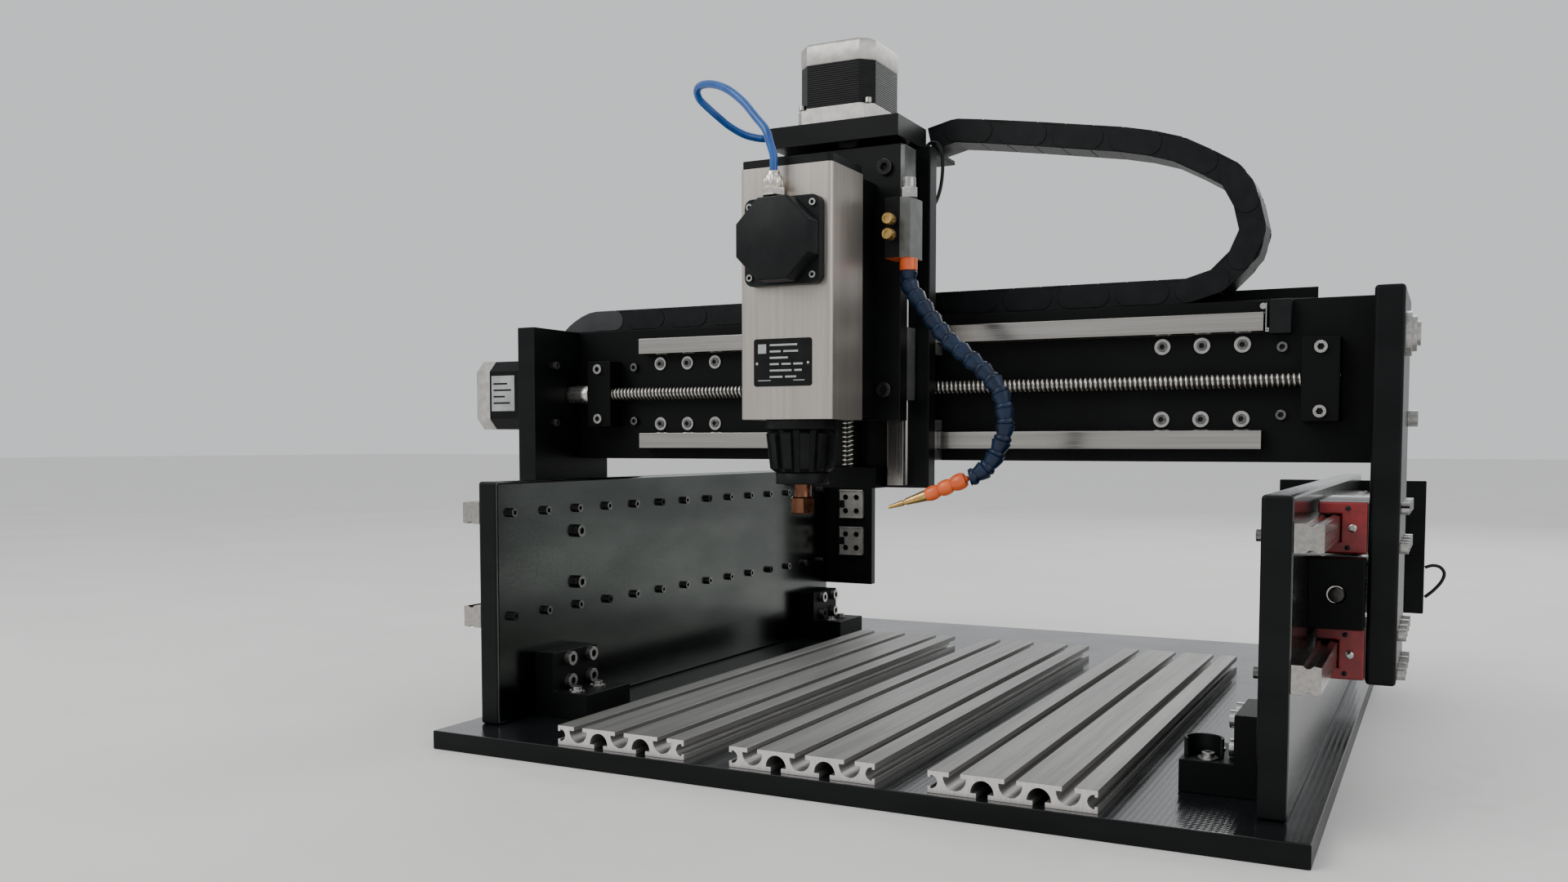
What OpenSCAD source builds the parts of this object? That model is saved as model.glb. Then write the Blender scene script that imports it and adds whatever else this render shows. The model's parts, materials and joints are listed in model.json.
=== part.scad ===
// Bench-top CNC router with a moving gantry, a square spindle and a T-slot table.
// Origin: centre of the base plate's underside. +Z up, -Y front, +X right. Millimetres.

/* [Base] */
// Margin of the base plate outside each side plate
base_margin = 23; // [10:1:60]
// Depth of the base plate
base_d = 1040; // [900:1:1250]
// Thickness of the base plate
base_t = 20; // [15:1:25]

/* [Table] */
// Width of one T-slot plate
slot_w = 150; // [130:1:180]
// Height of one T-slot plate
slot_h = 20; // [18:1:24]
// Length of the T-slot plates
slot_l = 768; // [640:1:900]
// Centre distance of the T-slot plates
slot_pitch = 200; // [185:1:215]

/* [Side plates] */
// Clear width between the two side plates
side_gap = 778; // [760:1:940]
// Thickness of the side plates
side_t = 25; // [20:1:30]
// Length of the side plates
side_l = 832; // [800:1:950]
// Height of the side plates
side_h = 265; // [255:1:320]
// Height of the lower long rails above the base plate
rail_low = 117; // [110:1:125]
// Height of the upper long rails above the base plate
rail_high = 230.5; // [225:0.5:235]

/* [Gantry] */
// Thickness of the two uprights
upright_t = 25; // [20:1:30]
// Depth of the uprights, front to back
upright_d = 150; // [140:1:180]
// Clearance between the side plates and the beam above them
beam_clear = 22.5; // [10:0.5:60]
// Depth of the beam, front to back
beam_d = 70; // [55:1:80]
// Height of the beam
beam_h = 158; // [150:1:180]
// Length of the cross rails
x_rail_l = 718; // [590:1:740]

/* [Head] */
// Width of the cross carriage plate
x_plate_w = 172; // [165:1:190]
// Width of the sliding head plate
z_plate_w = 147; // [140:1:155]
// Width of the spindle housing
spindle_w = 100; // [92:1:110]
// Height of the spindle housing
spindle_h = 245; // [200:1:300]
// Rest position of the head along the beam, from the middle
head_x = -57; // [-100:1:100]

/* [Hidden] */
$fn = 48;

// Turns that point a shape's own +Z along another axis
TO_PX = [0, 90, 0];
TO_NX = [0, -90, 0];
TO_PY = [-90, 0, 0];
TO_NY = [90, 0, 0];

// Colours
BLACK = [0.06, 0.06, 0.065];
STEEL = [0.68, 0.68, 0.68];
ALU = [0.76, 0.76, 0.75];
BRASS = [0.78, 0.58, 0.24];

// Fits and gaps
run_gap = 0.05;

// Base and side plates
base_top = base_t;
side_in = side_gap / 2;
side_out = side_in + side_t;
base_w = 2 * (side_out + base_margin);
side_front = -base_d / 2 + 50;
side_back = side_front + side_l;
side_top = base_top + side_h;
row_z = [base_top + rail_low, base_top + rail_high];
mid_z = (row_z[0] + row_z[1]) / 2;
bolt_pitch = 60;
bolt_count = floor((side_l - 30) / bolt_pitch) + 1;
bolt_first = 24.5;

// Long axis: rails, carriages and screws in the gap between side plates and uprights
rail_w = 24;
rail_h = 23;
y_gap = 46;
upright_in = side_out + y_gap;
upright_out = upright_in + upright_t;
y_screw_x = side_out + 23;
screw_r = 8;
y_bearing_d = 30;
y_bearing_front = side_front + 129;
rear_t = 15;
rear_y = side_back;
rear_w = 184;
rear_h = 178;
rear_low = base_top + 78;
motor_w = 86;
flange_l = 16;
stack_l = 44;
x_stack_l = 55;
cap_l = 22;

// Gantry
up_front = y_bearing_front + y_bearing_d + 0.5;
up_back = up_front + upright_d;
up_low = base_top + 90.5;
up_top = side_top + beam_clear + beam_h;
beam_front = up_front + 90;
beam_back = beam_front + beam_d;
beam_low = up_top - beam_h;
beam_z = up_top - beam_h / 2;
x_row = 57;
x_rail_w = 20;
x_rail_h = 17.5;
x_screw_y = beam_front - 15;
carriage_l = 74.5;
carriage_rise = 4;
x_block_in = x_rail_l / 2 + 36;
x_block_w = 34;
x_block_d = 26;
x_coupling_l = 40;
x_coupling_x = x_block_in + x_block_w + x_coupling_l;
washer_x = [x_rail_l / 2 - 98, x_rail_l / 2 - 59.5, x_rail_l / 2 - 21];

// Head
x_plate_t = 20;
x_plate_back = beam_front - 30;
x_plate_front = x_plate_back - x_plate_t;
head_low = beam_low - 29;
z_plate_low = head_low + 71;
head_space = 43.5;
top_z = z_plate_low + spindle_h + head_space;
top_t = 22;
z_row = 55;
z_screw_y = x_plate_front - 15;
z_plate_back = x_plate_front - 30;
z_plate_t = 20;
z_plate_front = z_plate_back - z_plate_t;
spindle_d = 77;
mount_d = 39;
spindle_back = z_plate_front - mount_d;
spindle_front = spindle_back - spindle_d;
spindle_low = z_plate_low;
spindle_top = spindle_low + spindle_h;
axis_y = spindle_back - spindle_d / 2;
shaft_r = 12;

// Drag chain: straight run on the beam, large open loop, run back to the head
chain_t = 26;
chain_w = 45;
chain_y = beam_front + 43;
chain_low = up_top + 2 + chain_t / 2;
chain_rise = top_z + 23.5 - chain_low;
chain_end = -upright_out - 12;
chain_bevel = 47;
chain_path = [
    [chain_end + chain_bevel, chain_low],
    for (p = [
        [-100, 0], [150, 0], [344, 0], [367, 0.05], [396, 0.21], [400, 0.33], [389, 0.55], [376, 0.64],
        [320, 0.81], [278, 0.87], [170, 0.97], [117, 1.015], [84, 1.04], [58, 1]])
    [head_x + p[0], chain_low + chain_rise * p[1]]];

// Cord routes
rear_cable_route = [
    [rear_w / 2 + 0.7, 62], [rear_w / 2 + 10, 65], [rear_w / 2 + 19, 63], [rear_w / 2 + 24, 55],
    [rear_w / 2 + 21, 44], [rear_w / 2 + 12, 32], [rear_w / 2 + 1.4, 22]];
motor_cable_route = [
    [-12, 0, -43.4], [-12, 0, -54], [-16, 0, -62], [-26, 0, -66], [-40, 0, -62], [-48, 0, -54],
    [-50, 0, -43], [-50, 0, -33.8]];
switch_cable_route = [
    [57, 40, 7.3], [58, 40, 12], [64, 40, 17], [73, 38, 14], [79, 34, 2], [82, 28, -16],
    [82, 22, -36], [80, 14, -52], [76, 7, -61], [73, 2.2, -65]];
air_hose_route = [
    [-5, -53, -11.3], [-5, -53, 3], [-9, -53, 16], [-14, -52, 29], [-29, -46, 45], [-46, -38, 62],
    [-67, -30, 78], [-88, -22, 88], [-107, -14, 92], [-118, -6, 90], [-121, 3, 84],
    [-118, 12, 78], [-112, 24, 70], [-106, 40, 62], [-98, 56, 56], [-90, 68, 54],
    [-84, 76, 54], [-79, 78, 54], [-73.8, 78, 54]];
hose_route = [
    [90, 58, -0.5], [90, 58, -6], [90, 58, -12], [97, 55, -23], [108, 51, -36], [122, 47, -54],
    [138, 44, -72], [158, 40, -88], [181, 37, -108], [194, 34, -124], [200, 31, -144], [201, 27, -164], [194, 24, -184],
    [187, 20, -196], [176, 17.5, -204], [171, 16.5, -206]];
nozzle_route = [[171, 16.5, -206], [129, 10, -224], [108, 6, -231], [92, 3, -236]];

// ---- helpers ----

module place(p, turn = [0, 0, 0]) translate(p) rotate(turn) children();

module both_sides() {
    children();
    mirror([1, 0, 0]) children();
}

// Box given by its low and high corners
module span(a, b) translate(a) cube([b[0] - a[0], b[1] - a[1], b[2] - a[2]]);

// Guide rail section with the two ball grooves; base on the X axis, height along +Y
module rail_section(w, h) {
    n = w * 0.1;
    polygon([
        [-w / 2, 0], [w / 2, 0], [w / 2, h * 0.38], [w / 2 - n, h * 0.5], [w / 2 - n, h * 0.64],
        [w / 2, h * 0.76], [w / 2 - 1, h], [-w / 2 + 1, h], [-w / 2, h * 0.76],
        [-w / 2 + n, h * 0.64], [-w / 2 + n, h * 0.5], [-w / 2, h * 0.38]]);
}

// Carriage section that clears the rail by 0.5 mm all round
module carriage_section(w, high, rw, rh) {
    difference() {
        translate([-w / 2, carriage_rise]) square([w, high - carriage_rise]);
        translate([-rw / 2 - 0.5, 0]) square([rw + 1, rh + 0.5]);
    }
}

// Cap screw head with a hex socket, standing on z = 0
module cap_head(r = 5, h = 6) {
    difference() {
        cylinder(r = r, h = h);
        translate([0, 0, h - r * 0.55]) cylinder(r = r * 0.55, h = r, $fn = 6);
    }
}

// Cap screw on a wide washer, h high in all
module washer_head(r, h) {
    difference() {
        union() {
            cylinder(r = r, h = 2);
            cylinder(r = r * 0.62, h = h);
        }
        translate([0, 0, h / 2]) cylinder(r = r * 0.34, h = h, $fn = 6);
    }
}

module rounded(x, y, r) {
    hull() for (i = [-1, 1], j = [-1, 1]) translate([i * (x / 2 - r), j * (y / 2 - r)]) circle(r);
}

function cut_square(w, c) = [
    [-w / 2 + c, -w / 2], [w / 2 - c, -w / 2], [w / 2, -w / 2 + c], [w / 2, w / 2 - c],
    [w / 2 - c, w / 2], [-w / 2 + c, w / 2], [-w / 2, w / 2 - c], [-w / 2, -w / 2 + c]];

// Square stepper motor standing on its flange, z = 0 is the mounting face
module motor(stack = stack_l) {
    linear_extrude(flange_l) polygon(cut_square(motor_w, 7));
    translate([0, 0, flange_l]) linear_extrude(stack) polygon(cut_square(motor_w - 1, 13));
    translate([0, 0, flange_l + stack]) linear_extrude(cap_l) polygon(cut_square(motor_w, 13));
    translate([-12, -motor_w / 2 - 6, flange_l + 4]) cube([24, 7, stack_l - 8]);
}

// Point on a smooth curve through four points
function spline(a, b, c, d, t) =
    0.5 * (2 * b + t * (c - a) + t * t * (2 * a - 5 * b + 4 * c - d)
    + t * t * t * (3 * b - a - 3 * c + d));
function smooth(p, n) = [
    for (i = [0 : len(p) - 2], k = [0 : n - 1])
        spline(p[max(i - 1, 0)], p[i], p[i + 1], p[min(i + 2, len(p) - 1)], k / n),
    p[len(p) - 1]];
function unit(v) = v / norm(v);
function tangent(p, i) = unit(p[min(i + 1, len(p) - 1)] - p[max(i - 1, 0)]);
// One ring of the tube; side is square to the run and to the Y axis
function ring(p, i, r, sides) =
    let (t = tangent(p, i), u = unit(cross(t, [0, 1, 0])), v = cross(u, t))
    [for (k = [0 : sides - 1]) p[i] + r * (cos(360 * k / sides) * u + sin(360 * k / sides) * v)];

// Round tube along a route
module tube(route, r, sides = 8, n = 3) {
    p = smooth(route, n);
    last = len(p) - 1;
    pts = [for (i = [0 : last]) each ring(p, i, r, sides)];
    walls = [for (i = [0 : last - 1], k = [0 : sides - 1])
        [i * sides + k, i * sides + (k + 1) % sides,
        (i + 1) * sides + (k + 1) % sides, (i + 1) * sides + k]];
    first_cap = [[for (k = [sides - 1 : -1 : 0]) k]];
    last_cap = [[for (k = [0 : sides - 1]) last * sides + k]];
    polyhedron(points = pts, faces = concat(first_cap, walls, last_cap), convexity = 6);
}

// ---- base ----

module base_plate() color(BLACK)
    span([-base_w / 2, -base_d / 2, 0], [base_w / 2, base_d / 2, base_t]);

// Outline of one T-slot, open at its top edge y = 0: a mouth between two lips, then a round hollow
slot_mouth = 10.5;
slot_lip = 4.5;
hollow_w = 10.5;
hollow_h = 11.5;
function t_slot() = concat(
    [[-slot_mouth / 2, 1], [-slot_mouth / 2, -slot_lip]],
    [for (a = [180 : 15 : 360]) [hollow_w * cos(a), hollow_h * sin(a) - slot_lip]],
    [[slot_mouth / 2, -slot_lip], [slot_mouth / 2, 1]]);
function side_slot() = concat(
    [[-4, 1], [-4, -3]], [for (a = [180 : 20 : 360]) [6 * cos(a), 6 * sin(a) - 3]], [[4, -3], [4, 1]]);

// Clamping extrusion: three T-slots above, two below, one smaller slot each side
module slot_section() {
    difference() {
        translate([-slot_w / 2, 0]) square([slot_w, slot_h]);
        for (i = [-1 : 1]) translate([i * slot_w / 3, slot_h]) polygon(t_slot());
        for (i = [-1, 1]) {
            translate([i * slot_w / 6, 0]) rotate(180) polygon(t_slot());
            translate([i * slot_w / 2, slot_h / 2]) rotate(-90 * i) polygon(side_slot());
        }
    }
}

module table_slots() {
    color(ALU) for (i = [-1 : 1])
        translate([i * slot_pitch - 3, -base_d / 2 + 8 + slot_l, base_top])
            rotate(TO_NY) linear_extrude(slot_l) slot_section();
}

module side_plate() span([side_in, side_front, base_top], [side_out, side_back, side_top]);

module side_plate_left() color(BLACK) mirror([1, 0, 0]) side_plate();

module side_plate_right() color(BLACK) side_plate();

// L-shaped corner bracket on the inner side of the right side plate, y0 is its front
bracket_l = 84;
foot_x = 46;
module bracket(y0) {
    span([side_in - 26, y0, base_top], [side_in, y0 + bracket_l, base_top + 72]);
    span([side_in - 26 - foot_x, y0, base_top], [side_in - 26, y0 + bracket_l, base_top + 29]);
}

bracket_rows = [side_front + 63, side_back - 20 - bracket_l];

module corner_brackets() color(BLACK) both_sides() for (y = bracket_rows) bracket(y);

module base_bolts() color([0.12, 0.12, 0.125]) both_sides() {
    for (z = row_z, i = [0 : bolt_count - 1])
        place([side_in, side_front + bolt_first + i * bolt_pitch, z], TO_NX) cap_head(5, 6);
    for (z = [-30, 30])
        place([side_in, y_bearing_front + y_bearing_d / 2, mid_z + z], TO_NX) cap_head(7.5, 8);
    for (y = bracket_rows, j = [0, 1]) {
        for (z = [38.5, 64])
            place([side_in - 26, y + 28 + j * 40, base_top + z - 1], TO_NX) cap_head(8, 7);
        place([side_in - 26 - foot_x / 2, y + 12 + j * 40, base_top + 29]) washer_head(9, 6);
    }
}

module y_rails() color(STEEL) both_sides() for (z = row_z)
    translate([side_out, side_back - 4, z]) rotate([0, 90, 0]) rotate([90, 0, 0])
        linear_extrude(side_l - 6) rail_section(rail_w, rail_h);

module y_bearing(y0) difference() {
    span([side_out, y0, mid_z - 31], [upright_in - 1, y0 + y_bearing_d, mid_z + 31]);
    place([y_screw_x, y0 - 1, mid_z], TO_PY) cylinder(r = screw_r + run_gap, h = y_bearing_d + 2);
}

y_rear_block = side_back - 76;
module y_bearings() color(BLACK) both_sides() {
    y_bearing(y_bearing_front);
    y_bearing(y_rear_block);
}

module rear_plates() color(BLACK) both_sides() difference() {
    span([side_in + side_t / 2 - rear_w / 2, rear_y, rear_low],
        [side_in + side_t / 2 + rear_w / 2, rear_y + rear_t, rear_low + rear_h]);
    place([y_screw_x, rear_y - 1, mid_z], TO_PY) cylinder(r = 12, h = rear_t + 2);
}

module y_motors() color([0.2, 0.2, 0.21]) both_sides()
    place([y_screw_x, rear_y + rear_t, mid_z], TO_PY) motor();

// Two square power sockets with an open face on the front of the left rear plate
module power_sockets() color(ALU) for (z = [107, 47]) {
    translate([-side_in + 25, rear_y - 8, rear_low + z]) difference() {
        cube([41, 8, 46]);
        translate([5, -1, 5]) cube([31, 6, 36]);
    }
}

// Open ring on the right front foot; the foot screw stands in its gap
ring_r = 17;
module cable_ring() color(BLACK)
    translate([side_in - 26 - foot_x + ring_r + 1, bracket_rows[0] + 22, base_top + 29]) difference() {
        cylinder(r = ring_r, h = 17);
        translate([0, 0, -1]) cylinder(r = ring_r - 2.5, h = 19);
        translate([0, 0, -1]) linear_extrude(19)
            polygon([[0, 0], [-30.6, -25.7], [0, -60], [38.6, -10.4]]);
    }

module rear_cable() color(BLACK) translate([side_in + side_t / 2, rear_y + rear_t / 2, rear_low])
    tube([for (p = rear_cable_route) [p[0], 0, p[1]]], 2.2);

// Ball screw of the long axis with its shaft coupling, turns as one piece
module y_screw(side) {
    color(STEEL) translate([side * y_screw_x, 0, mid_z]) {
        place([0, y_bearing_front - 6, 0], TO_PY) cylinder(r = 6.7, h = 10);
        place([0, y_bearing_front, 0], TO_PY) cylinder(r = screw_r, h = rear_y - 12 - y_bearing_front);
        place([0, rear_y - 42, 0], TO_PY) cylinder(r = 11.5, h = 30);
        place([0, rear_y - 12, 0], TO_PY) cylinder(r = 6.5, h = rear_t + 11.5);
    }
}

module y_screw_left() y_screw(-1);

module y_screw_right() y_screw(1);

// ---- gantry ----

module upright() span([upright_in, up_front, up_low], [upright_out, up_back, up_top]);

module upright_left() color(BLACK) difference() {
    mirror([1, 0, 0]) upright();
    place([-upright_out - 1, x_screw_y, beam_z], TO_PX) cylinder(r = 15, h = upright_t + 2);
}

module upright_right() color(BLACK) upright();

module beam() color(BLACK)
    span([-upright_in, beam_front, beam_low], [upright_in, beam_back, up_top]);

module x_rails() color(STEEL) for (s = [-1, 1])
    translate([-x_rail_l / 2, beam_front, beam_z + s * x_row]) rotate([0, 90, 0]) mirror([0, 1, 0])
        linear_extrude(x_rail_l) rail_section(x_rail_w, x_rail_h);

cap_t = 9;
module y_carriage_at(y, z) translate([side_out, y, z]) rotate([0, 90, 0]) rotate([90, 0, 0]) children();

module y_carriages() color(STEEL) both_sides() for (z = row_z, i = [0, 1])
    y_carriage_at(up_front + i * (upright_d - carriage_l) + carriage_l - cap_t, z)
        linear_extrude(carriage_l - 2 * cap_t) carriage_section(48, y_gap, rail_w, rail_h);

module y_carriage_caps() color([0.62, 0.05, 0.06]) both_sides()
    for (z = row_z, i = [0, 1], j = [0, 1])
        y_carriage_at(up_front + i * (upright_d - carriage_l) + (j == 0 ? cap_t : carriage_l), z)
            linear_extrude(cap_t) carriage_section(46, y_gap - 1, rail_w, rail_h);

module y_nuts() color(STEEL) both_sides() difference() {
    union() {
        span([y_screw_x - 20, up_front + 50, mid_z - 24], [upright_in, up_front + 100, mid_z + 24]);
        place([y_screw_x, up_front + 34, mid_z], TO_PY) cylinder(r = 14, h = 20);
    }
    place([y_screw_x, up_front + 30, mid_z], TO_PY) cylinder(r = screw_r + run_gap, h = 80);
}

module gantry_bolts() color(STEEL) {
    for (s = [-1, 1], z = [-36.5, 36.5]) {
        for (x = washer_x) place([s * x, beam_front, beam_z + z], TO_NY)
            washer_head(8, carriage_rise - 0.5);
        place([s * (x_rail_l / 2 + 16), beam_front, beam_z + z * 0.9], TO_NY) cap_head(5, 5);
        place([s * (x_block_in + x_block_w / 2), beam_front - x_block_d, beam_z + z * 0.83], TO_NY)
            cap_head(6, 4);
    }
    // X motor screws on the inner face of the left upright
    for (y = [-35, 35], z = [-35, 35]) if (x_screw_y + y < beam_front - 6)
        place([-upright_in, x_screw_y + y, beam_z + z], TO_PX) cap_head(4.5, 4);
    both_sides() {
        for (z = row_z, dz = [-17.5, 17.5], i = [0, 1], dy = [-17.5, 17.5])
            place([upright_out, up_front + carriage_l / 2 + i * (upright_d - carriage_l) + dy, z + dz], TO_PX)
                cap_head(5.5, 7);
        place([upright_out, beam_front + beam_d / 2 + 8, beam_z - 36.5], TO_PX) cap_head(8, 9);
    }
    place([upright_out, beam_front - 60, beam_z + 37], TO_PX) {
        cylinder(r = 20, h = 5);
        translate([0, 0, 5]) cylinder(r = 16, h = 4);
        translate([0, 0, 9]) cylinder(r = 11, h = 3);
    }
}

module x_block(x0) difference() {
    span([x0, beam_front - x_block_d, beam_z - 40], [x0 + x_block_w, beam_front, beam_z + 40]);
    place([x0 - 1, x_screw_y, beam_z], TO_PX) cylinder(r = screw_r + run_gap, h = x_block_w + 2);
}

module x_bearings() color(BLACK) {
    x_block(x_block_in);
    x_block(-x_block_in - x_block_w);
}

module x_screw() color(STEEL) translate([0, x_screw_y, beam_z]) {
    place([-x_block_in - x_block_w, 0, 0], TO_PX) cylinder(r = screw_r, h = 2 * (x_block_in + x_block_w));
    place([-x_coupling_x, 0, 0], TO_PX) cylinder(r = 11.5, h = x_coupling_l - 0.5);
    place([-upright_out + 0.5, 0, 0], TO_PX)
        cylinder(r = 6.5, h = upright_out - 0.5 - x_coupling_x + x_coupling_l + 24.5);
}

module x_motor() color([0.2, 0.2, 0.21])
    place([-upright_out, x_screw_y, beam_z], TO_NX) rotate([0, 0, 180]) motor(x_stack_l);

// White cable plug under the X motor
module x_motor_plug() color("white")
    span([-upright_out - 22, x_screw_y - 14, beam_z - 52], [-upright_out - 4, x_screw_y + 2, beam_z - 43]);

module x_motor_cable() color(BLACK) translate([-upright_out - 12, x_screw_y, beam_z - 9])
    tube([for (p = motor_cable_route) [p[0] + 12, p[1] - 6, p[2]]], 2.5);

// Thin steel tray with a folded lip that carries the lower run of the drag chain
module chain_tray() color(BLACK) {
    span([-upright_in + 1, beam_front + 12, up_top], [upright_in - 60, chain_y + chain_w / 2 + 4, up_top + 1.5]);
    span([-upright_in + 1, chain_y + chain_w / 2 + 2, up_top + 1.5],
        [upright_in - 60, chain_y + chain_w / 2 + 4, up_top + 18]);
}

switch_x = x_rail_l / 2 + 5;
switch_z = beam_z + 45;
module x_limit_switch() color(BLACK)
    span([switch_x, beam_front - 16, switch_z], [switch_x + 20, beam_front, switch_z + 33]);

// Sprung roller lever on the switch, turns about a pin at its lower end
module limit_lever() color(STEEL) {
    difference() {
        union() {
            span([switch_x - 3.5, beam_front - 15, switch_z + 3], [switch_x - 2.5, beam_front - 7, switch_z + 30]);
            span([switch_x - 3.5, beam_front - 15, switch_z + 2], [switch_x - 0.3, beam_front - 7, switch_z + 6]);
        }
        place([switch_x - 2, beam_front - 16, switch_z + 4], TO_PY) cylinder(r = 0.6, h = 10, $fn = 24);
    }
    place([switch_x - 6, beam_front - 14, switch_z + 27], TO_PY) cylinder(r = 3, h = 6);
}

// ---- cross carriage ----

module x_plate() color(BLACK) span([head_x - x_plate_w / 2, x_plate_front, head_low],
    [head_x + x_plate_w / 2, x_plate_back, top_z]);

module x_carriages() color(STEEL) for (s = [-1, 1], i = [-1, 1])
    translate([head_x + i * 46 - 38, beam_front, beam_z + s * x_row]) rotate([0, 90, 0]) mirror([0, 1, 0])
        linear_extrude(76) carriage_section(44, 30, x_rail_w, x_rail_h);

module x_nut() color(STEEL) difference() {
    union() {
        place([head_x - 25, x_screw_y, beam_z], TO_PX) cylinder(r = 14, h = 50);
        span([head_x - 16, x_plate_back, beam_z - 22], [head_x + 16, x_plate_back + 4, beam_z + 22]);
    }
    place([head_x - 30, x_screw_y, beam_z], TO_PX) cylinder(r = screw_r + run_gap, h = 60);
}

module z_rails() color(STEEL) for (s = [-1, 1])
    translate([head_x + s * z_row, x_plate_front, head_low + 3]) rotate([0, 0, 180])
        linear_extrude(top_z - head_low - 6) rail_section(x_rail_w, x_rail_h);

module z_block(z0, h) difference() {
    span([head_x - 37.5, x_plate_front - 29.5, z0], [head_x + 37.5, x_plate_front, z0 + h]);
    translate([head_x, z_screw_y, z0 - 1]) cylinder(r = screw_r + run_gap, h = h + 2);
}

module z_bearings() color(BLACK) {
    z_block(head_low, 22);
    z_block(top_z - 62, 20);
}

module z_screw() color(STEEL) translate([head_x, z_screw_y, 0]) {
    translate([0, 0, head_low + 1]) cylinder(r = screw_r, h = top_z - 38 - head_low);
    translate([0, 0, top_z - 38]) cylinder(r = 11.5, h = 36);
    translate([0, 0, top_z - 2]) cylinder(r = 6.5, h = top_t + 1.5);
}

module top_plate() color(BLACK) difference() {
    span([head_x - z_plate_w / 2, z_screw_y - motor_w / 2 - 1, top_z],
        [head_x + z_plate_w / 2, x_plate_back, top_z + top_t]);
    translate([head_x, z_screw_y, top_z - 1]) cylinder(r = 13, h = top_t + 2);
}

// Folded bracket from the top plate back over the beam, holds the moving end of the chain
module chain_arm() color(BLACK) {
    span([head_x + 18, x_plate_back, top_z + 2], [head_x + 72, chain_y + chain_w / 2, top_z + 7]);
    span([head_x + 18, x_plate_back, top_z + 7], [head_x + 72, x_plate_back + 5, top_z + top_t]);
}

module z_motor() color([0.2, 0.2, 0.21]) translate([head_x, z_screw_y, top_z + top_t])
    rotate([0, 0, -90]) motor();

module z_switch_cable() color(BLACK)
    translate([head_x, x_plate_back, top_z]) tube(switch_cable_route, 2);

// Offset of the chain's centre line to one side
function side_line(p, d) = [
    for (i = [0 : len(p) - 1]) let (t = tangent(p, i)) p[i] + d * [-t[1], t[0]]];
function reversed(p) = [for (i = [len(p) - 1 : -1 : 0]) p[i]];

module cable_chain() color([0.05, 0.05, 0.05]) translate([0, chain_y + chain_w / 2, 0]) rotate(TO_NY)
    linear_extrude(chain_w) polygon(concat(
        side_line(chain_path, chain_t / 2), reversed(side_line(chain_path, -chain_t / 2)),
        [[chain_end, chain_low - chain_t / 2], [chain_end, chain_low - chain_t / 2 + 4]]));

// ---- head ----

module z_plate() color(BLACK) span([head_x - z_plate_w / 2, z_plate_front, z_plate_low],
    [head_x + z_plate_w / 2, z_plate_back, top_z - 6]);

module z_carriages() color(STEEL) for (s = [-1, 1], z = [22, top_z - z_plate_low - 104])
    translate([head_x + s * z_row, x_plate_front, z_plate_low + z]) rotate([0, 0, 180])
        linear_extrude(76) carriage_section(34, 30, x_rail_w, x_rail_h);

module z_nut() color(STEEL) difference() {
    union() {
        translate([head_x, z_screw_y, z_plate_low + 60]) cylinder(r = 14, h = 50);
        span([head_x - 22, z_plate_back, z_plate_low + 70], [head_x + 22, z_plate_back + 4, z_plate_low + 100]);
    }
    translate([head_x, z_screw_y, z_plate_low + 50]) cylinder(r = screw_r + run_gap, h = 70);
}

// Screws on the head: sliding plate, terminal box
box_y = spindle_front - 12;
box_z = spindle_top - 74;
module z_bolts() color(STEEL) {
    for (s = [-1, 1], z = [32, spindle_h + 14])
        place([head_x + s * (z_plate_w / 2 - 17), z_plate_front, z_plate_low + z], TO_NY) cap_head(8, 5);
    for (s = [-1, 1], t = [-1, 1])
        place([head_x + 2 + s * 34, box_y, box_z + t * 34], TO_NY) cap_head(3.4, 2.5);
}

module spindle_mount() color(BLACK) difference() {
    span([head_x - spindle_w / 2 + 4, spindle_back, spindle_low + 3],
        [head_x + spindle_w / 2 - 4, z_plate_front, spindle_top - 2]);
    translate([head_x - 20, spindle_back + 12, spindle_low]) cube([40, 15, spindle_h]);
}

module spindle_housing() {
    color(ALU) translate([head_x, axis_y, spindle_low]) difference() {
        linear_extrude(spindle_h) rounded(spindle_w, spindle_d, 5);
        translate([0, 0, -1]) cylinder(r = 34, h = spindle_h - 11);
    }
    color(BLACK) translate([head_x, axis_y, spindle_top]) linear_extrude(8)
        rounded(spindle_w - 2, spindle_d - 2, 5);
}

// Stator ring and the two bearings, closed inside the housing
module spindle_core() color([0.55, 0.4, 0.3]) translate([head_x, axis_y, 0]) {
    translate([0, 0, spindle_low + 60]) difference() {
        cylinder(r = 34, h = 120);
        translate([0, 0, -1]) cylinder(r = 25, h = 122);
    }
    for (z = [spindle_low + 6, spindle_top - 34]) translate([0, 0, z]) difference() {
        cylinder(r = 34, h = 16);
        translate([0, 0, -1]) cylinder(r = shaft_r + run_gap, h = 18);
    }
}

module spindle_nose() color(BLACK) translate([head_x, axis_y, spindle_low]) difference() {
    union() {
        translate([0, 0, -10]) cylinder(r = 37, h = 10);
        translate([0, 0, -52]) rotate_extrude() polygon([[0, 0], [28, 0], [33, 42], [0, 42]]);
        translate([0, 0, -64]) cylinder(r = 27, h = 12);
        for (a = [0 : 30 : 330]) rotate([0, 0, a]) translate([28, -2.2, -51]) cube([5.5, 4.4, 41]);
    }
    translate([0, 0, -65]) cylinder(r = shaft_r + 1.5, h = 66);
}

module terminal_box() color(BLACK) translate([head_x + 2, spindle_front, box_z]) rotate(TO_NY) {
    linear_extrude(12) rounded(81, 84, 6);
    translate([0, 0, 12]) linear_extrude(21) polygon(cut_square(76, 24));
}

module cable_gland() color(STEEL) translate([head_x - 5, spindle_front - 15, box_z + 42]) {
    cylinder(r = 12, h = 9, $fn = 6);
    translate([0, 0, 9]) cylinder(r = 10.5, h = 10);
    translate([0, 0, 19]) cylinder(r = 8, h = 5);
}

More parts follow.
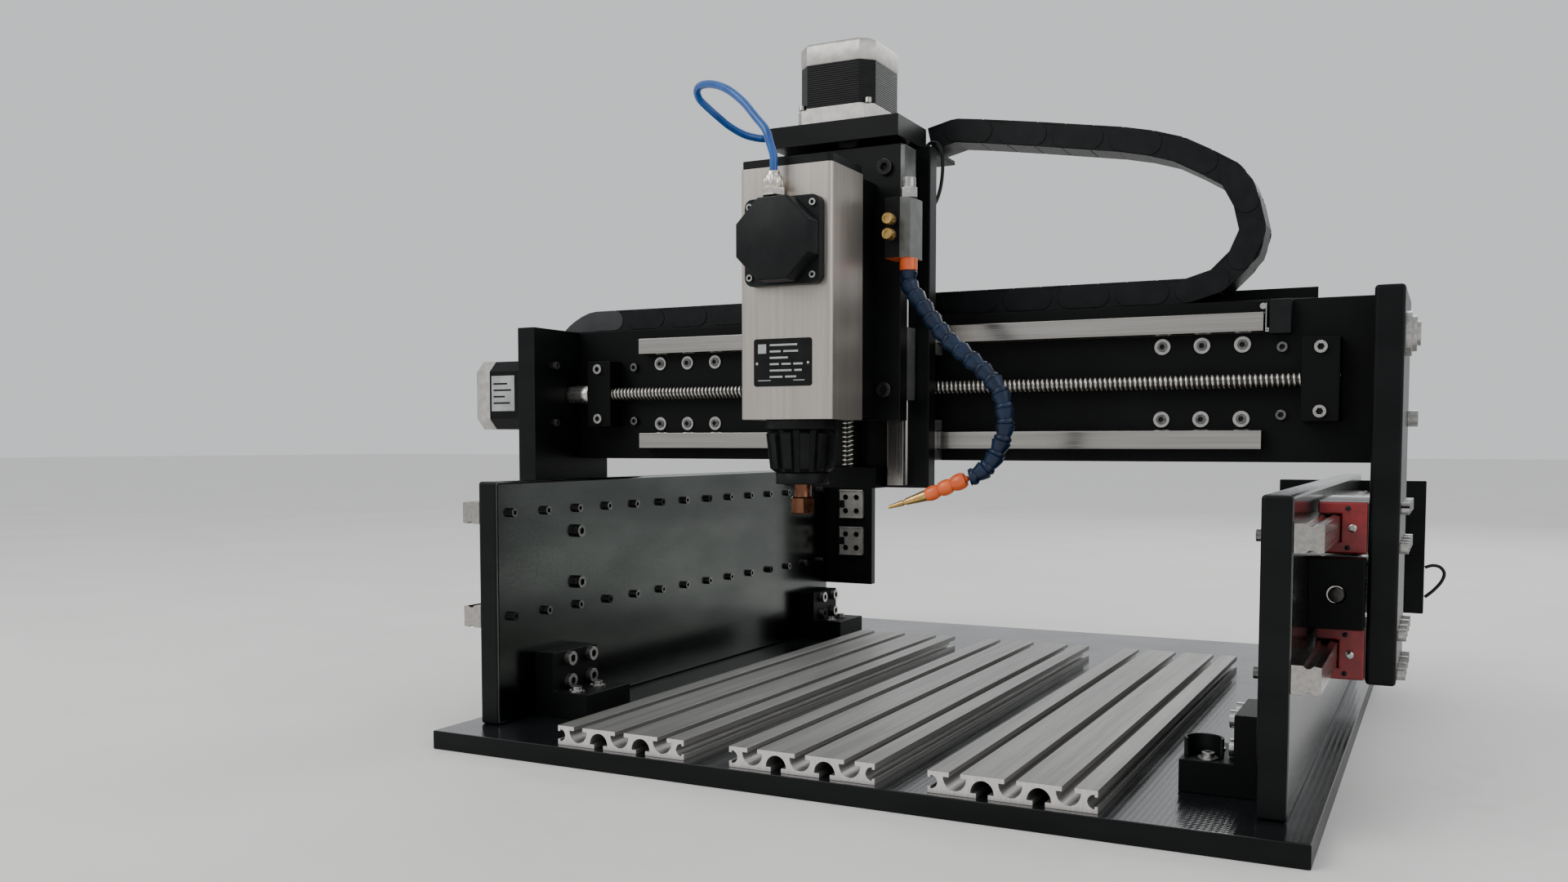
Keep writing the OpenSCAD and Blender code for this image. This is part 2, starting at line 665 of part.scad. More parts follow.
module air_hose() color([0.1, 0.3, 0.75]) translate([head_x, axis_y, top_z - 40]) tube(air_hose_route, 4, 8, 4);

// Mist unit: side bracket, valve block, silver inlet and red outlet
mist_x = head_x + z_plate_w / 2;
mist_z = z_plate_low + 150;
fitting_x = mist_x + 16.5;
module mist_block() {
    color([0.3, 0.3, 0.3]) {
        span([mist_x, z_plate_front - 2, mist_z + 10], [mist_x + 5, z_plate_back + 8, mist_z + 130]);
        span([mist_x + 5, z_plate_front - 30, mist_z + 12], [mist_x + 22, z_plate_front + 4, mist_z + 72]);
        span([mist_x - 5, z_plate_front - 31, mist_z + 12], [mist_x + 11, z_plate_front - 1, mist_z + 72]);
    }
    color(STEEL) translate([fitting_x, axis_y + 58, mist_z + 72]) {
        cylinder(r = 9, h = 10, $fn = 6);
        translate([0, 0, 10]) cylinder(r = 7, h = 10);
    }
    color("orangered") translate([fitting_x, axis_y + 58, mist_z]) cylinder(r = 9, h = 12);
}

module knob(z) color(BRASS) translate([mist_x + 5, z_plate_front - 31, mist_z + z]) rotate(TO_NY)
    difference() {
        union() {
            translate([0, 0, 0.3]) cylinder(r = 3, h = 8);
            translate([0, 0, 8]) cylinder(r = 6.2, h = 11);
        }
        translate([-7, -0.8, 18]) cube([14, 1.6, 3]);
    }

module knob_upper() knob(48.5);

module knob_lower() knob(33.5);

module coolant_hose() color([0.06, 0.16, 0.4])
    translate([head_x, axis_y, mist_z]) tube(hose_route, 9, 12, 3);

// Orange nozzle with a brass tip; it turns on a round knuckle just clear of the end of the hose
knuckle_r = 3.2;
knuckle_gap = 0.8;
module hose_nozzle() translate([head_x, axis_y, mist_z]) {
    from = nozzle_route[0];
    way = unit(nozzle_route[1] - from);
    color("orangered") {
        place(from + (knuckle_r + knuckle_gap) * way, TO_NY) cylinder(r = knuckle_r, h = 5, center = true);
        tube([from + 4.6 * way, nozzle_route[1]], 8.5, 12, 4);
    }
    color(BRASS) tube([for (i = [1 : 3]) nozzle_route[i]], 5, 12, 2);
}

module spindle_shaft() color(STEEL) translate([head_x, axis_y, 0]) {
    translate([0, 0, spindle_low - 64]) cylinder(r = shaft_r, h = spindle_h + 44);
    translate([0, 0, spindle_low + 62]) cylinder(r = 24, h = 116);
}

module collet_nut() color([0.5, 0.3, 0.2]) translate([head_x, axis_y, spindle_low - 94]) difference() {
    union() {
        cylinder(r = 13, h = 17, $fn = 6);
        translate([0, 0, 17]) cylinder(r = 9, h = 13);
    }
    translate([0, 0, -1]) cylinder(r = 3, h = 26);
}

base_plate();
table_slots();
side_plate_left();
side_plate_right();
base_bolts();
corner_brackets();
y_rails();
y_bearings();
rear_plates();
y_motors();
power_sockets();
cable_ring();
rear_cable();
y_screw_left();
y_screw_right();
upright_left();
upright_right();
beam();
x_rails();
y_carriages();
y_carriage_caps();
y_nuts();
gantry_bolts();
x_bearings();
x_motor();
x_motor_plug();
x_motor_cable();
chain_tray();
x_limit_switch();
limit_lever();
x_screw();
x_plate();
x_carriages();
x_nut();
z_rails();
z_bearings();
top_plate();
chain_arm();
z_motor();
z_switch_cable();
cable_chain();
z_screw();
z_plate();
z_carriages();
z_nut();
z_bolts();
spindle_mount();
spindle_housing();
spindle_core();
spindle_nose();
terminal_box();
cable_gland();
air_hose();
mist_block();
knob_upper();
knob_lower();
coolant_hose();
hose_nozzle();
spindle_shaft();
collet_nut();
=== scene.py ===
import json
import math

import bmesh
import bpy
import numpy as np
from mathutils import Euler, Matrix, Vector

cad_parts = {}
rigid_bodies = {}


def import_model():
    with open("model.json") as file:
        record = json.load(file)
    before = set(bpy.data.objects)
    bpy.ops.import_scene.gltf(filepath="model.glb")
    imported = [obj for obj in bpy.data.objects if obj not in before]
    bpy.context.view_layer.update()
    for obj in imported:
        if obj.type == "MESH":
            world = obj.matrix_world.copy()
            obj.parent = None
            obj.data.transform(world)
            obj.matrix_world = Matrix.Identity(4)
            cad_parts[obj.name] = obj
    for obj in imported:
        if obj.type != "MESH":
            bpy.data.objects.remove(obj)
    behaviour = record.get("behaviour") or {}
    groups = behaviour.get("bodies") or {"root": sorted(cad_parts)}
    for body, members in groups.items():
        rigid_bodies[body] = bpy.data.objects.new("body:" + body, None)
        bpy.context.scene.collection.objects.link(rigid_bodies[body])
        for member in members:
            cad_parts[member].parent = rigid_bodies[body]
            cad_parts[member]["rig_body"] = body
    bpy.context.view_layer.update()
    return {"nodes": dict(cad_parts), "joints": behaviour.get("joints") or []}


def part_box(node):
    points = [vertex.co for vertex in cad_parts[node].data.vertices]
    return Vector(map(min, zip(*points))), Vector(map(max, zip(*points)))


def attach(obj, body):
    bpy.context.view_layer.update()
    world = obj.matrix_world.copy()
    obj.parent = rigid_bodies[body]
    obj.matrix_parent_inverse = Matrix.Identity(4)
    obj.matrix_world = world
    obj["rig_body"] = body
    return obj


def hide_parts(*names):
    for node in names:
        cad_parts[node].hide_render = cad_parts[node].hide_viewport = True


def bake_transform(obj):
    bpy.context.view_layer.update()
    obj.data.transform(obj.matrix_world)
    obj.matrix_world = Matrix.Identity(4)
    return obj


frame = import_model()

# ---- Studio: camera, pale floor and soft light ----
# The machine stands on a plain pale floor. A wide soft key light hangs in front and to the
# left, weaker ones fill from the right and from behind, and a bright room lights the rest.

camera_data = bpy.data.cameras.new("camera")
camera_data.lens = 29.94
camera_data.sensor_width = 36.0
camera_data.shift_y = 0.0487
camera_data.clip_end = 100.0
camera = bpy.data.objects.new("camera", camera_data)
camera.location = (0.5268, -1.5737, 0.3256)
camera.rotation_euler = Euler((math.radians(90 - 3.23), 0.0, math.radians(27.22)))
bpy.context.scene.collection.objects.link(camera)
bpy.context.scene.camera = camera


def soft_light(name, place, aim, size, power, tint=(1.0, 1.0, 1.0)):
    """A square area light at place that faces aim."""
    data = bpy.data.lights.new(name, "AREA")
    data.size = size
    data.energy = power
    data.color = tint
    light = bpy.data.objects.new(name, data)
    light.location = place
    light.rotation_euler = (Vector(aim) - Vector(place)).to_track_quat("-Z", "Y").to_euler()
    bpy.context.scene.collection.objects.link(light)


soft_light("key_light", (-1.6, -2.6, 2.6), (0.0, 0.0, 0.3), 2.4, 62, (1.0, 0.985, 0.96))
soft_light("fill_light", (2.8, -1.2, 1.6), (0.2, 0.0, 0.3), 1.8, 16)
soft_light("back_light", (0.6, 2.8, 2.4), (0.0, 0.2, 0.3), 2.2, 34)

world = bpy.data.worlds.new("room")
world.use_nodes = True
world.node_tree.nodes["Background"].inputs["Color"].default_value = (0.93, 0.95, 0.97, 1)
world.node_tree.nodes["Background"].inputs["Strength"].default_value = 0.8
bpy.context.scene.world = world


def shader(name, colour, rough, metal=0.0, **sockets):
    """A Principled material with constant values; returns the material, its tree and shader."""
    material = bpy.data.materials.new(name)
    material.use_nodes = True
    tree = material.node_tree
    node = tree.nodes["Principled BSDF"]
    node.inputs["Base Color"].default_value = (*colour, 1)
    node.inputs["Roughness"].default_value = rough
    node.inputs["Metallic"].default_value = metal
    for socket, value in sockets.items():
        node.inputs[socket.replace("_", " ")].default_value = value
    return material, tree, node


def grain(tree, scale, stretch=(1, 1, 1)):
    """Noise on object coordinates, stretched per axis; returns its factor output."""
    coordinate = tree.nodes.new("ShaderNodeTexCoord")
    mapping = tree.nodes.new("ShaderNodeMapping")
    mapping.inputs["Scale"].default_value = stretch
    noise = tree.nodes.new("ShaderNodeTexNoise")
    noise.inputs["Scale"].default_value = scale
    noise.inputs["Detail"].default_value = 3.0
    tree.links.new(coordinate.outputs["Object"], mapping.inputs["Vector"])
    tree.links.new(mapping.outputs["Vector"], noise.inputs["Vector"])
    return noise.outputs["Fac"]


NOISE_REACH = 0.15


def spread(tree, factor, low, high):
    """Carries a factor that stays within NOISE_REACH of 0.5 onto the range low to high."""
    ranger = tree.nodes.new("ShaderNodeMapRange")
    ranger.inputs["From Min"].default_value = 0.5 - NOISE_REACH
    ranger.inputs["From Max"].default_value = 0.5 + NOISE_REACH
    ranger.inputs["To Min"].default_value = low
    ranger.inputs["To Max"].default_value = high
    tree.links.new(factor, ranger.inputs["Value"])
    return ranger.outputs["Result"]


def tint(tree, factor, dark, light):
    """A colour between dark and light as the factor goes about 0.5."""
    mix = tree.nodes.new("ShaderNodeMix")
    mix.data_type = "RGBA"
    mix.inputs[6].default_value = (*dark, 1)
    mix.inputs[7].default_value = (*light, 1)
    tree.links.new(spread(tree, factor, 0, 1), mix.inputs[0])
    return mix.outputs[2]


def relief(tree, node, height, strength, distance=0.0005):
    """Bump from a height output into the shader's normal."""
    bump = tree.nodes.new("ShaderNodeBump")
    bump.inputs["Strength"].default_value = strength
    bump.inputs["Distance"].default_value = distance
    tree.links.new(height, bump.inputs["Height"])
    tree.links.new(bump.outputs["Normal"], node.inputs["Normal"])


def finish(name, dark, light, rough, metal=0.0, scale=60.0, stretch=(1, 1, 1), fine=900.0,
           bump=0.1, **sockets):
    """A finish with cloudy colour, uneven gloss and a fine grain. dark and light are the two
    colours, rough the two roughnesses; stretch draws the grain out along an axis."""
    material, tree, node = shader(name, dark, rough[0], metal, **sockets)
    cloud = grain(tree, scale, stretch)
    small = grain(tree, fine, stretch)
    tree.links.new(tint(tree, cloud, dark, light), node.inputs["Base Color"])
    tree.links.new(spread(tree, small, *rough), node.inputs["Roughness"])
    if bump:
        relief(tree, node, small, bump)
    return material


floor_material = finish("pale_floor", (0.80, 0.79, 0.77), (0.84, 0.83, 0.81), (0.55, 0.7),
                        scale=3.0, fine=40.0, bump=0.02)
FLOOR_HALF = 30
floor_mesh = bpy.data.meshes.new("floor")
corners = [(x * FLOOR_HALF, y * FLOOR_HALF, 0) for x, y in ((-1, -1), (1, -1), (1, 1), (-1, 1))]
floor_mesh.from_pydata(corners, [], [(0, 1, 2, 3)])
floor_mesh.materials.append(floor_material)
floor = bpy.data.objects.new("floor", floor_mesh)
bpy.context.scene.collection.objects.link(floor)

# ---- Black plates: base, side plates, uprights, beam and carriage plates ----
# Thick aluminium plate, milled to size with broken edges and anodised satin black with faint
# streaks. The side plates' wide faces shine, and the base has a fine woven grain on top.


def put(name, mesh, materials, body, stands_for=(), bevel=0.0, segments=2, angle=32.0):
    """Makes the mesh an object with smooth faces, sharp or bevelled corners, and rides it."""
    for material in materials:
        mesh.materials.append(material)
    mesh.shade_smooth()
    item = bpy.data.objects.new(name, mesh)
    bpy.context.scene.collection.objects.link(item)
    if bevel:
        modifier = item.modifiers.new("edges", "BEVEL")
        modifier.width = bevel
        modifier.segments = segments
        modifier.limit_method = "ANGLE"
        modifier.angle_limit = math.radians(angle)
        modifier.harden_normals = True
    else:
        mesh.set_sharp_from_angle(angle=math.radians(angle))
    if body:
        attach(item, body)
    if stands_for:
        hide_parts(*stands_for)
    return item


def dress(node, materials, bevel=0.0008, segments=2, pick=None):
    """A merged copy of a CAD solid with its flat faces joined and its edges broken. pick gives
    each face's material number from its centre, its normal and whether it is in a hex socket."""
    mesh = frame["nodes"][node].data.copy()
    mesh.materials.clear()
    solid = bmesh.new()
    solid.from_mesh(mesh)
    bmesh.ops.remove_doubles(solid, verts=solid.verts, dist=2e-6)
    bmesh.ops.dissolve_limit(solid, angle_limit=math.radians(0.8), verts=solid.verts,
                             edges=solid.edges)
    for face in solid.faces:
        near = [face] + [other for edge in face.edges for other in edge.link_faces]
        socket = any(len(other.verts) == 6 for other in near)
        face.material_index = pick(face.calc_center_median(), face.normal, socket) if pick else 0
    solid.to_mesh(mesh)
    solid.free()
    if "custom_normal" in mesh.attributes:
        mesh.attributes.remove(mesh.attributes["custom_normal"])
    body = frame["nodes"][node]["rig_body"]
    return put(node + "_shown", mesh, materials, body, (node,), bevel, segments)


anodised = finish("black_anodised", (0.0028, 0.0032, 0.0035), (0.0058, 0.0065, 0.0068), (0.28, 0.4),
                  scale=7.0, stretch=(1, 1, 4), fine=350.0, bump=0.05, Specular_IOR_Level=0.14)
anodised_matt = finish("black_anodised_matt", (0.0022, 0.0025, 0.0026), (0.0045, 0.005, 0.0052),
                       (0.4, 0.52), scale=9.0, fine=500.0, bump=0.06, Specular_IOR_Level=0.1)
side_gloss = finish("side_gloss", (0.060, 0.068, 0.063), (0.092, 0.101, 0.094), (0.15, 0.23),
                    metal=1.0, scale=6.0, stretch=(1, 1, 3), fine=300.0, bump=0.02)


def woven_black(name):
    """Black with a fine raised basket grain, the product of a wave along X and one along Y."""
    material, tree, node = shader(name, (0.008, 0.009, 0.010), 0.2, 0.0, Coat_Weight=0.25)
    node.inputs["Coat Roughness"].default_value = 0.08
    coordinate = tree.nodes.new("ShaderNodeTexCoord")
    heights = []
    for direction in ("X", "Y"):
        wave = tree.nodes.new("ShaderNodeTexWave")
        wave.bands_direction = direction
        wave.inputs["Scale"].default_value = 60.0
        wave.inputs["Distortion"].default_value = 0.6
        tree.links.new(coordinate.outputs["Object"], wave.inputs["Vector"])
        heights.append(wave.outputs["Fac"])
    product = tree.nodes.new("ShaderNodeMath")
    product.operation = "MULTIPLY"
    tree.links.new(heights[0], product.inputs[0])
    tree.links.new(heights[1], product.inputs[1])
    cloud = grain(tree, 8.0)
    tree.links.new(spread(tree, cloud, 0.14, 0.24), node.inputs["Roughness"])
    tree.links.new(tint(tree, cloud, (0.006, 0.007, 0.008), (0.011, 0.0125, 0.014)),
                   node.inputs["Base Color"])
    relief(tree, node, product.outputs["Value"], 0.35, 0.0004)
    return material


base_black = woven_black("base_black")
dress("base_plate", [base_black, anodised], bevel=0.0012,
      pick=lambda centre, normal, socket: 0 if normal.z > 0.9 else 1)
for plate in ("side_plate_left", "side_plate_right"):
    dress(plate, [side_gloss, anodised], bevel=0.0036, segments=4,
          pick=lambda centre, normal, socket: 1 if abs(normal.y) > 0.9 else 0)
for plate in ("upright_left", "upright_right"):
    dress(plate, [anodised], bevel=0.0036, segments=4)
dress("beam", [anodised_matt], bevel=0.0008)
for plate in ("x_plate", "z_plate", "top_plate"):
    dress(plate, [anodised], bevel=0.0012)
dress("rear_plates", [anodised], bevel=0.003, segments=3)
for block in ("corner_brackets", "y_bearings", "x_bearings", "z_bearings", "spindle_mount",
              "chain_arm"):
    dress(block, [anodised_matt], bevel=0.0009)
dress("chain_tray", [anodised_matt], bevel=0.0003)

# ---- T-slot table ----
# Three clamping extrusions of plain aluminium, drawn lengthwise: long faint die lines and a
# soft matt shine. Their sawn ends are a little brighter.

drawn_aluminium = finish("drawn_aluminium", (0.27, 0.264, 0.252), (0.36, 0.352, 0.338),
                         (0.34, 0.48), metal=0.7, scale=160.0, stretch=(1, 0.02, 1), fine=900.0,
                         bump=0.08)
sawn_aluminium = finish("sawn_aluminium", (0.60, 0.575, 0.55), (0.72, 0.695, 0.67), (0.35, 0.5),
                        metal=0.75, scale=500.0, stretch=(1, 1, 0.2), fine=1500.0, bump=0.12)
dress("table_slots", [drawn_aluminium, sawn_aluminium], bevel=0.0003, segments=1,
      pick=lambda centre, normal, socket: 1 if abs(normal.y) > 0.9 else 0)

# ---- Screws ----
# Cap screws with hex sockets: black oxide on the side plates' long rows and on the sliding
# head, bright zinc on the brackets and uprights, dark heads on bright washers on the beam.

black_oxide = finish("black_oxide", (0.10, 0.10, 0.098), (0.19, 0.188, 0.182), (0.16, 0.28),
                     metal=1.0, scale=300.0, fine=1600.0, bump=0.05)
zinc = finish("bright_zinc", (0.34, 0.335, 0.32), (0.46, 0.455, 0.44), (0.2, 0.36),
              metal=0.95, scale=250.0, fine=1500.0, bump=0.05)
# Near-black for the hex socket faces: painted shade in the screw recesses.
socket_shade_and_black_heads = finish("socket_shade_and_black_heads", (0.006, 0.006, 0.006), (0.012, 0.012, 0.012), (0.5, 0.6),
                     bump=0.0, Specular_IOR_Level=0.2)
bracket_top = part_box("corner_brackets")[1].z
dress("base_bolts", [black_oxide, zinc, socket_shade_and_black_heads], bevel=0.0004, segments=1,
      pick=lambda centre, normal, socket: 2 if socket else int(centre.z < bracket_top + 0.002))
beam_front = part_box("beam")[0].y
upright_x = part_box("upright_right")[0].x


def gantry_part(centre, normal, socket):
    """0 bright, 1 dark head on a bright washer, 2 painted shade in the hex socket."""
    on_beam = abs(centre.x) < upright_x - 0.05 and beam_front - 0.01 < centre.y < beam_front
    return 2 if socket else int(on_beam and centre.y < beam_front - 0.0021)


dress("gantry_bolts", [zinc, black_oxide, socket_shade_and_black_heads], bevel=0.0004, segments=1, pick=gantry_part)
housing_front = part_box("spindle_housing")[0].y
dress("z_bolts", [black_oxide, zinc, socket_shade_and_black_heads], bevel=0.0004, segments=1,
      pick=lambda centre, normal, socket: 2 if socket else int(centre.y < housing_front))

# ---- Guide rails and carriages ----
# Profiled rails of hardened steel, ground bright along their length. The carriages are
# grey steel blocks with red moulded end caps that hold the ball returns and wipers.


def ground_steel(name, along):
    """Bright steel with grinding lines along one axis, 0 X, 1 Y or 2 Z."""
    stretch = [1.0, 1.0, 1.0]
    stretch[along] = 0.015
    return finish(name, (0.33, 0.315, 0.295), (0.42, 0.40, 0.375), (0.17, 0.27), metal=1.0,
                  scale=260.0, stretch=stretch, fine=1100.0, bump=0.025)


for node, along in (("x_rails", 0), ("y_rails", 1), ("z_rails", 2)):
    dress(node, [ground_steel(node + "_steel", along)], bevel=0.0004, segments=2)
carriage_steel = finish("carriage_steel", (0.34, 0.34, 0.34), (0.45, 0.45, 0.45), (0.3, 0.42),
                        metal=0.9, scale=120.0, fine=900.0, bump=0.06)
for node in ("y_carriages", "x_carriages", "z_carriages"):
    dress(node, [carriage_steel], bevel=0.0008)
red_cap = finish("red_cap", (0.17, 0.006, 0.009), (0.24, 0.010, 0.013), (0.3, 0.42),
                 scale=90.0, fine=700.0, bump=0.05, Coat_Weight=0.15)
dress("y_carriage_caps", [red_cap], bevel=0.0016)

# ---- Ball screws and couplings ----
# Rolled steel screws of 16 mm with a 5 mm lead: a round-bottomed groove winds along a ground
# rod. A slit aluminium clamp coupling joins each one to its motor.


def grid_shell(points, material=0, caps=True):
    """Vertices and faces of a grid of points (along, around, xyz), closed round, with flat ends."""
    along, around = points.shape[:2]
    index = np.arange(along * around).reshape(along, around)
    turned = np.roll(index, -1, axis=1)
    quads = np.stack([index[:-1], turned[:-1], turned[1:], index[1:]], axis=-1).reshape(-1, 4)
    faces = quads.tolist()
    if caps:
        faces.append(index[0][::-1].tolist())
        faces.append(index[-1].tolist())
    return points.reshape(-1, 3), faces, material


def turned_shell(profile, place, count=40, material=0, bumps=None):
    """Surface of revolution: profile is (height, radius) pairs up the axis, place is the matrix
    that carries its +Z axis into the frame. bumps(height, angle) is added to the radius."""
    profile = np.array(profile, float)
    angle = np.linspace(0, 2 * np.pi, count, endpoint=False)
    height, turn = np.meshgrid(profile[:, 0], angle, indexing="ij")
    radius = np.repeat(profile[:, 1:2], count, axis=1)
    if bumps:
        radius = radius + bumps(height, turn)
    points = np.stack([radius * np.cos(turn), radius * np.sin(turn), height], axis=-1)
    return grid_shell(carry(points, place), material)


def carry(points, place):
    """Points taken into the frame by a 4x4 matrix."""
    matrix = np.array(place)
    return points @ matrix[:3, :3].T + matrix[:3, 3]


def join(name, shells):
    """One mesh from several closed shells, facing outwards. A shell's material is one number, or
    a list with one for each face."""
    vertices, faces, numbers, start = [], [], [], 0
    for points, polygons, material in shells:
        vertices.append(points)
        faces += [[start + k for k in polygon] for polygon in polygons]
        numbers += material if isinstance(material, list) else [material] * len(polygons)
        start += len(points)
    mesh = bpy.data.meshes.new(name)
    mesh.from_pydata(np.concatenate(vertices).tolist(), [], faces)
    mesh.polygons.foreach_set("material_index", numbers)
    solid = bmesh.new()
    solid.from_mesh(mesh)
    bmesh.ops.recalc_face_normals(solid, faces=solid.faces)
    solid.to_mesh(mesh)
    solid.free()
    return mesh


def standing(origin, direction, up=(0, 0, 1)):
    """Matrix that puts +Z along direction at origin, with +Y as near to up as it can be."""
    z = Vector(direction).normalized()
    x = Vector(up).cross(z)
    if x.length < 1e-6:
        x = Vector((1, 0, 0))
    x.normalize()
    y = z.cross(x)
    turn = Matrix((x, y, z)).transposed().to_4x4()
    return Matrix.Translation(Vector(origin)) @ turn


def on_top(x, y, z):
    """Matrix for a piece that stands upright at a point, with +Y to the back."""
    return standing((x, y, z), (0, 0, 1), (0, 1, 0))


SCREW_RADIUS = 0.008
SCREW_LEAD = 0.005
COUPLING_RADIUS = 0.0115


def thread_shell(length, place):
    """Ball screw: radius = rod - groove, where the groove is a cosine hollow that covers three
    fifths of each lead and advances one lead a turn. Its bottom has material 2, a near-black
    painted shade in the groove, the rod 0."""
    count, around = int(length / SCREW_LEAD * 9), 22
    angle = np.linspace(0, 2 * np.pi, around, endpoint=False)
    height, turn = np.meshgrid(np.linspace(0, length, count), angle, indexing="ij")
    phase = (height / SCREW_LEAD - turn / (2 * np.pi)) % 1.0
    hollow = np.clip(np.cos((phase - 0.5) * np.pi / 0.62), 0, 1) ** 0.7
    radius = SCREW_RADIUS - 0.0016 * hollow
    points = np.stack([radius * np.cos(turn), radius * np.sin(turn), height], axis=-1)
    points, faces, _ = grid_shell(carry(points, place))
    deep = (hollow[:-1] + hollow[1:] > 1.1).ravel().astype(int) * 2
    return points, faces, [*deep.tolist(), 0, 0]


def coupling_shell(start, length, place):
    """Clamp coupling: a turned sleeve with four narrow slits round it."""
    radius = COUPLING_RADIUS
    profile = [(start, radius * 0.55), (start, radius - 0.0006), (start + 0.0006, radius)]
    for slit in (0.3, 0.42, 0.58, 0.7):
        z = start + length * slit
        profile += [(z, radius), (z, radius * 0.82), (z + 0.0009, radius * 0.82),
                    (z + 0.0009, radius)]
    profile += [(start + length - 0.0006, radius), (start + length, radius - 0.0006),
                (start + length, radius * 0.55)]
    return turned_shell(profile, place, 36, 1)


screw_steel = finish("screw_steel", (0.42, 0.40, 0.375), (0.56, 0.54, 0.51), (0.14, 0.24),
                     metal=1.0, scale=200.0, fine=1200.0, bump=0.03)
# Near-black steel for the groove bottoms, a painted shade in the thread; the Y screws' end stubs
# also take this near-black.
groove_shade_dark_steel = finish("groove_shade_dark_steel", (0.030, 0.028, 0.026), (0.055, 0.052, 0.048), (0.3, 0.4),
                      metal=0.8, scale=200.0, fine=1200.0, bump=0.03)
clamp_aluminium = finish("clamp_aluminium", (0.50, 0.48, 0.45), (0.62, 0.60, 0.57), (0.2, 0.34),
                         metal=0.95, scale=200.0, stretch=(0.1, 1, 1), fine=900.0, bump=0.06)
axis_of = {joint["name"]: Vector(joint["pos_m"]) for joint in frame["joints"] if "pos_m" in joint}


def put_screw(node, shells):
    """The piece for one ball screw: rod 0, coupling 1, and 2 for the painted shade in the groove
    and the dark end stub.
    """
    put(node + "_thread", join(node, shells), [screw_steel, clamp_aluminium, groove_shade_dark_steel], node,
        (node,), angle=50)


for side in ("left", "right"):
    node = "y_screw_" + side
    low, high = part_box(node)
    centre = axis_of[node + "_spin"]
    place = standing((centre.x, low.y, centre.z), (0, 1, 0))
    length = high.y - low.y
    end = [(0, 0.0), (0, 0.0055), (0.0012, 0.0067), (0.007, 0.0067), (0.007, 0.0)]
    tail = length - 0.0265
    shells = [turned_shell(end, place, 40, 2),
              thread_shell(tail - 0.006, place @ Matrix.Translation((0, 0, 0.006))),
              coupling_shell(tail - 0.03, 0.03, place),
              turned_shell([(tail, 0.0), (tail, 0.0065), (length, 0.0065), (length, 0.0)], place)]
    put_screw(node, shells)

low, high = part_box("x_screw")
centre = axis_of["x_screw_spin"]
place = standing((low.x, centre.y, centre.z), (1, 0, 0))
coupling_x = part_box("x_bearings")[0].x - low.x - 0.04
threaded = place @ Matrix.Translation((0, 0, coupling_x + 0.04))
shells = [thread_shell(high.x - low.x - coupling_x - 0.04, threaded),
          coupling_shell(coupling_x, 0.0395, place),
          turned_shell([(0, 0), (0, 0.0065), (coupling_x + 0.045, 0.0065),
                        (coupling_x + 0.045, 0)], place)]
put_screw("x_screw", shells)

low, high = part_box("z_screw")
centre = axis_of["z_screw_spin"]
place = on_top(centre.x, centre.y, low.z)
shells = [thread_shell(high.z - low.z - 0.06, place),
          coupling_shell(high.z - low.z - 0.0595, 0.036, place),
          turned_shell([(0, 0), (0, 0.006), (high.z - low.z, 0.006), (high.z - low.z, 0)], place)]
put_screw("z_screw", shells)
for node in ("y_nuts", "x_nut", "z_nut"):
    dress(node, [zinc], bevel=0.0006)

# ---- Stepper motors ----
# Square motors of 86 mm: a bright cast flange, a black painted stack of steel sheets with cut
# corners, and a bright cast end cap. Four long screws sit in the corners.

cast_aluminium = finish("cast_aluminium", (0.42, 0.40, 0.38), (0.54, 0.52, 0.49), (0.34, 0.5),
                        metal=0.85, scale=120.0, fine=1300.0, bump=0.16)
stack_black = finish("stack_black", (0.002, 0.0022, 0.0024), (0.0042, 0.0046, 0.005), (0.28, 0.4),
                     scale=60.0, fine=900.0, bump=0.05, Specular_IOR_Level=0.15)
plain_black = finish("plain_black", (0.0028, 0.0031, 0.0034), (0.006, 0.0065, 0.007), (0.36, 0.5),
                     scale=90.0, fine=1000.0, bump=0.08, Specular_IOR_Level=0.15)
print_pale = finish("print_pale", (0.30, 0.31, 0.31), (0.42, 0.43, 0.43), (0.5, 0.6), fine=600.0,
                    bump=0.0)


def cut_square(width, cut, arc=0):
    """Square outline with its corners cut at 45 degrees, or rounded in arc steps."""
    half = width / 2
    if not arc:
        quarter = [(half, -half + cut), (half, half - cut)]
    else:
        steps = np.linspace(0, np.pi / 2, arc + 1)
        quarter = [(half - cut + cut * math.cos(a), half - cut + cut * math.sin(a)) for a in steps]
    outline = []
    for k in range(4):
        c, s = round(math.cos(k * math.pi / 2)), round(math.sin(k * math.pi / 2))
        outline += [(c * x - s * y, s * x + c * y) for x, y in quarter]
    return outline


def tapered_shell(outline, rings, place, material=0):
    """An outline in XY at several heights: rings is (height, scale) pairs up the +Z axis."""
    flat = np.array(outline, float)
    points = [np.column_stack([flat * scale, np.full(len(flat), z)]) for z, scale in rings]
    return grid_shell(carry(np.stack(points), place), material)


def prism_shell(outline, low, high, place, material=0):
    """An outline in XY carried from low to high along Z."""
    return tapered_shell(outline, [(low, 1), (high, 1)], place, material)


def bar(x, y, w, h, low, high, place, material):
    """A flat bar w by h, centred at x, y and carried from low to high along Z."""
    box = [(x - w / 2, y - h / 2), (x + w / 2, y - h / 2), (x + w / 2, y + h / 2),
           (x - w / 2, y + h / 2)]
    return prism_shell(box, low, high, place, material)


MOTOR_W, FLANGE, CAP, SHEET = 0.086, 0.016, 0.022, 0.0022


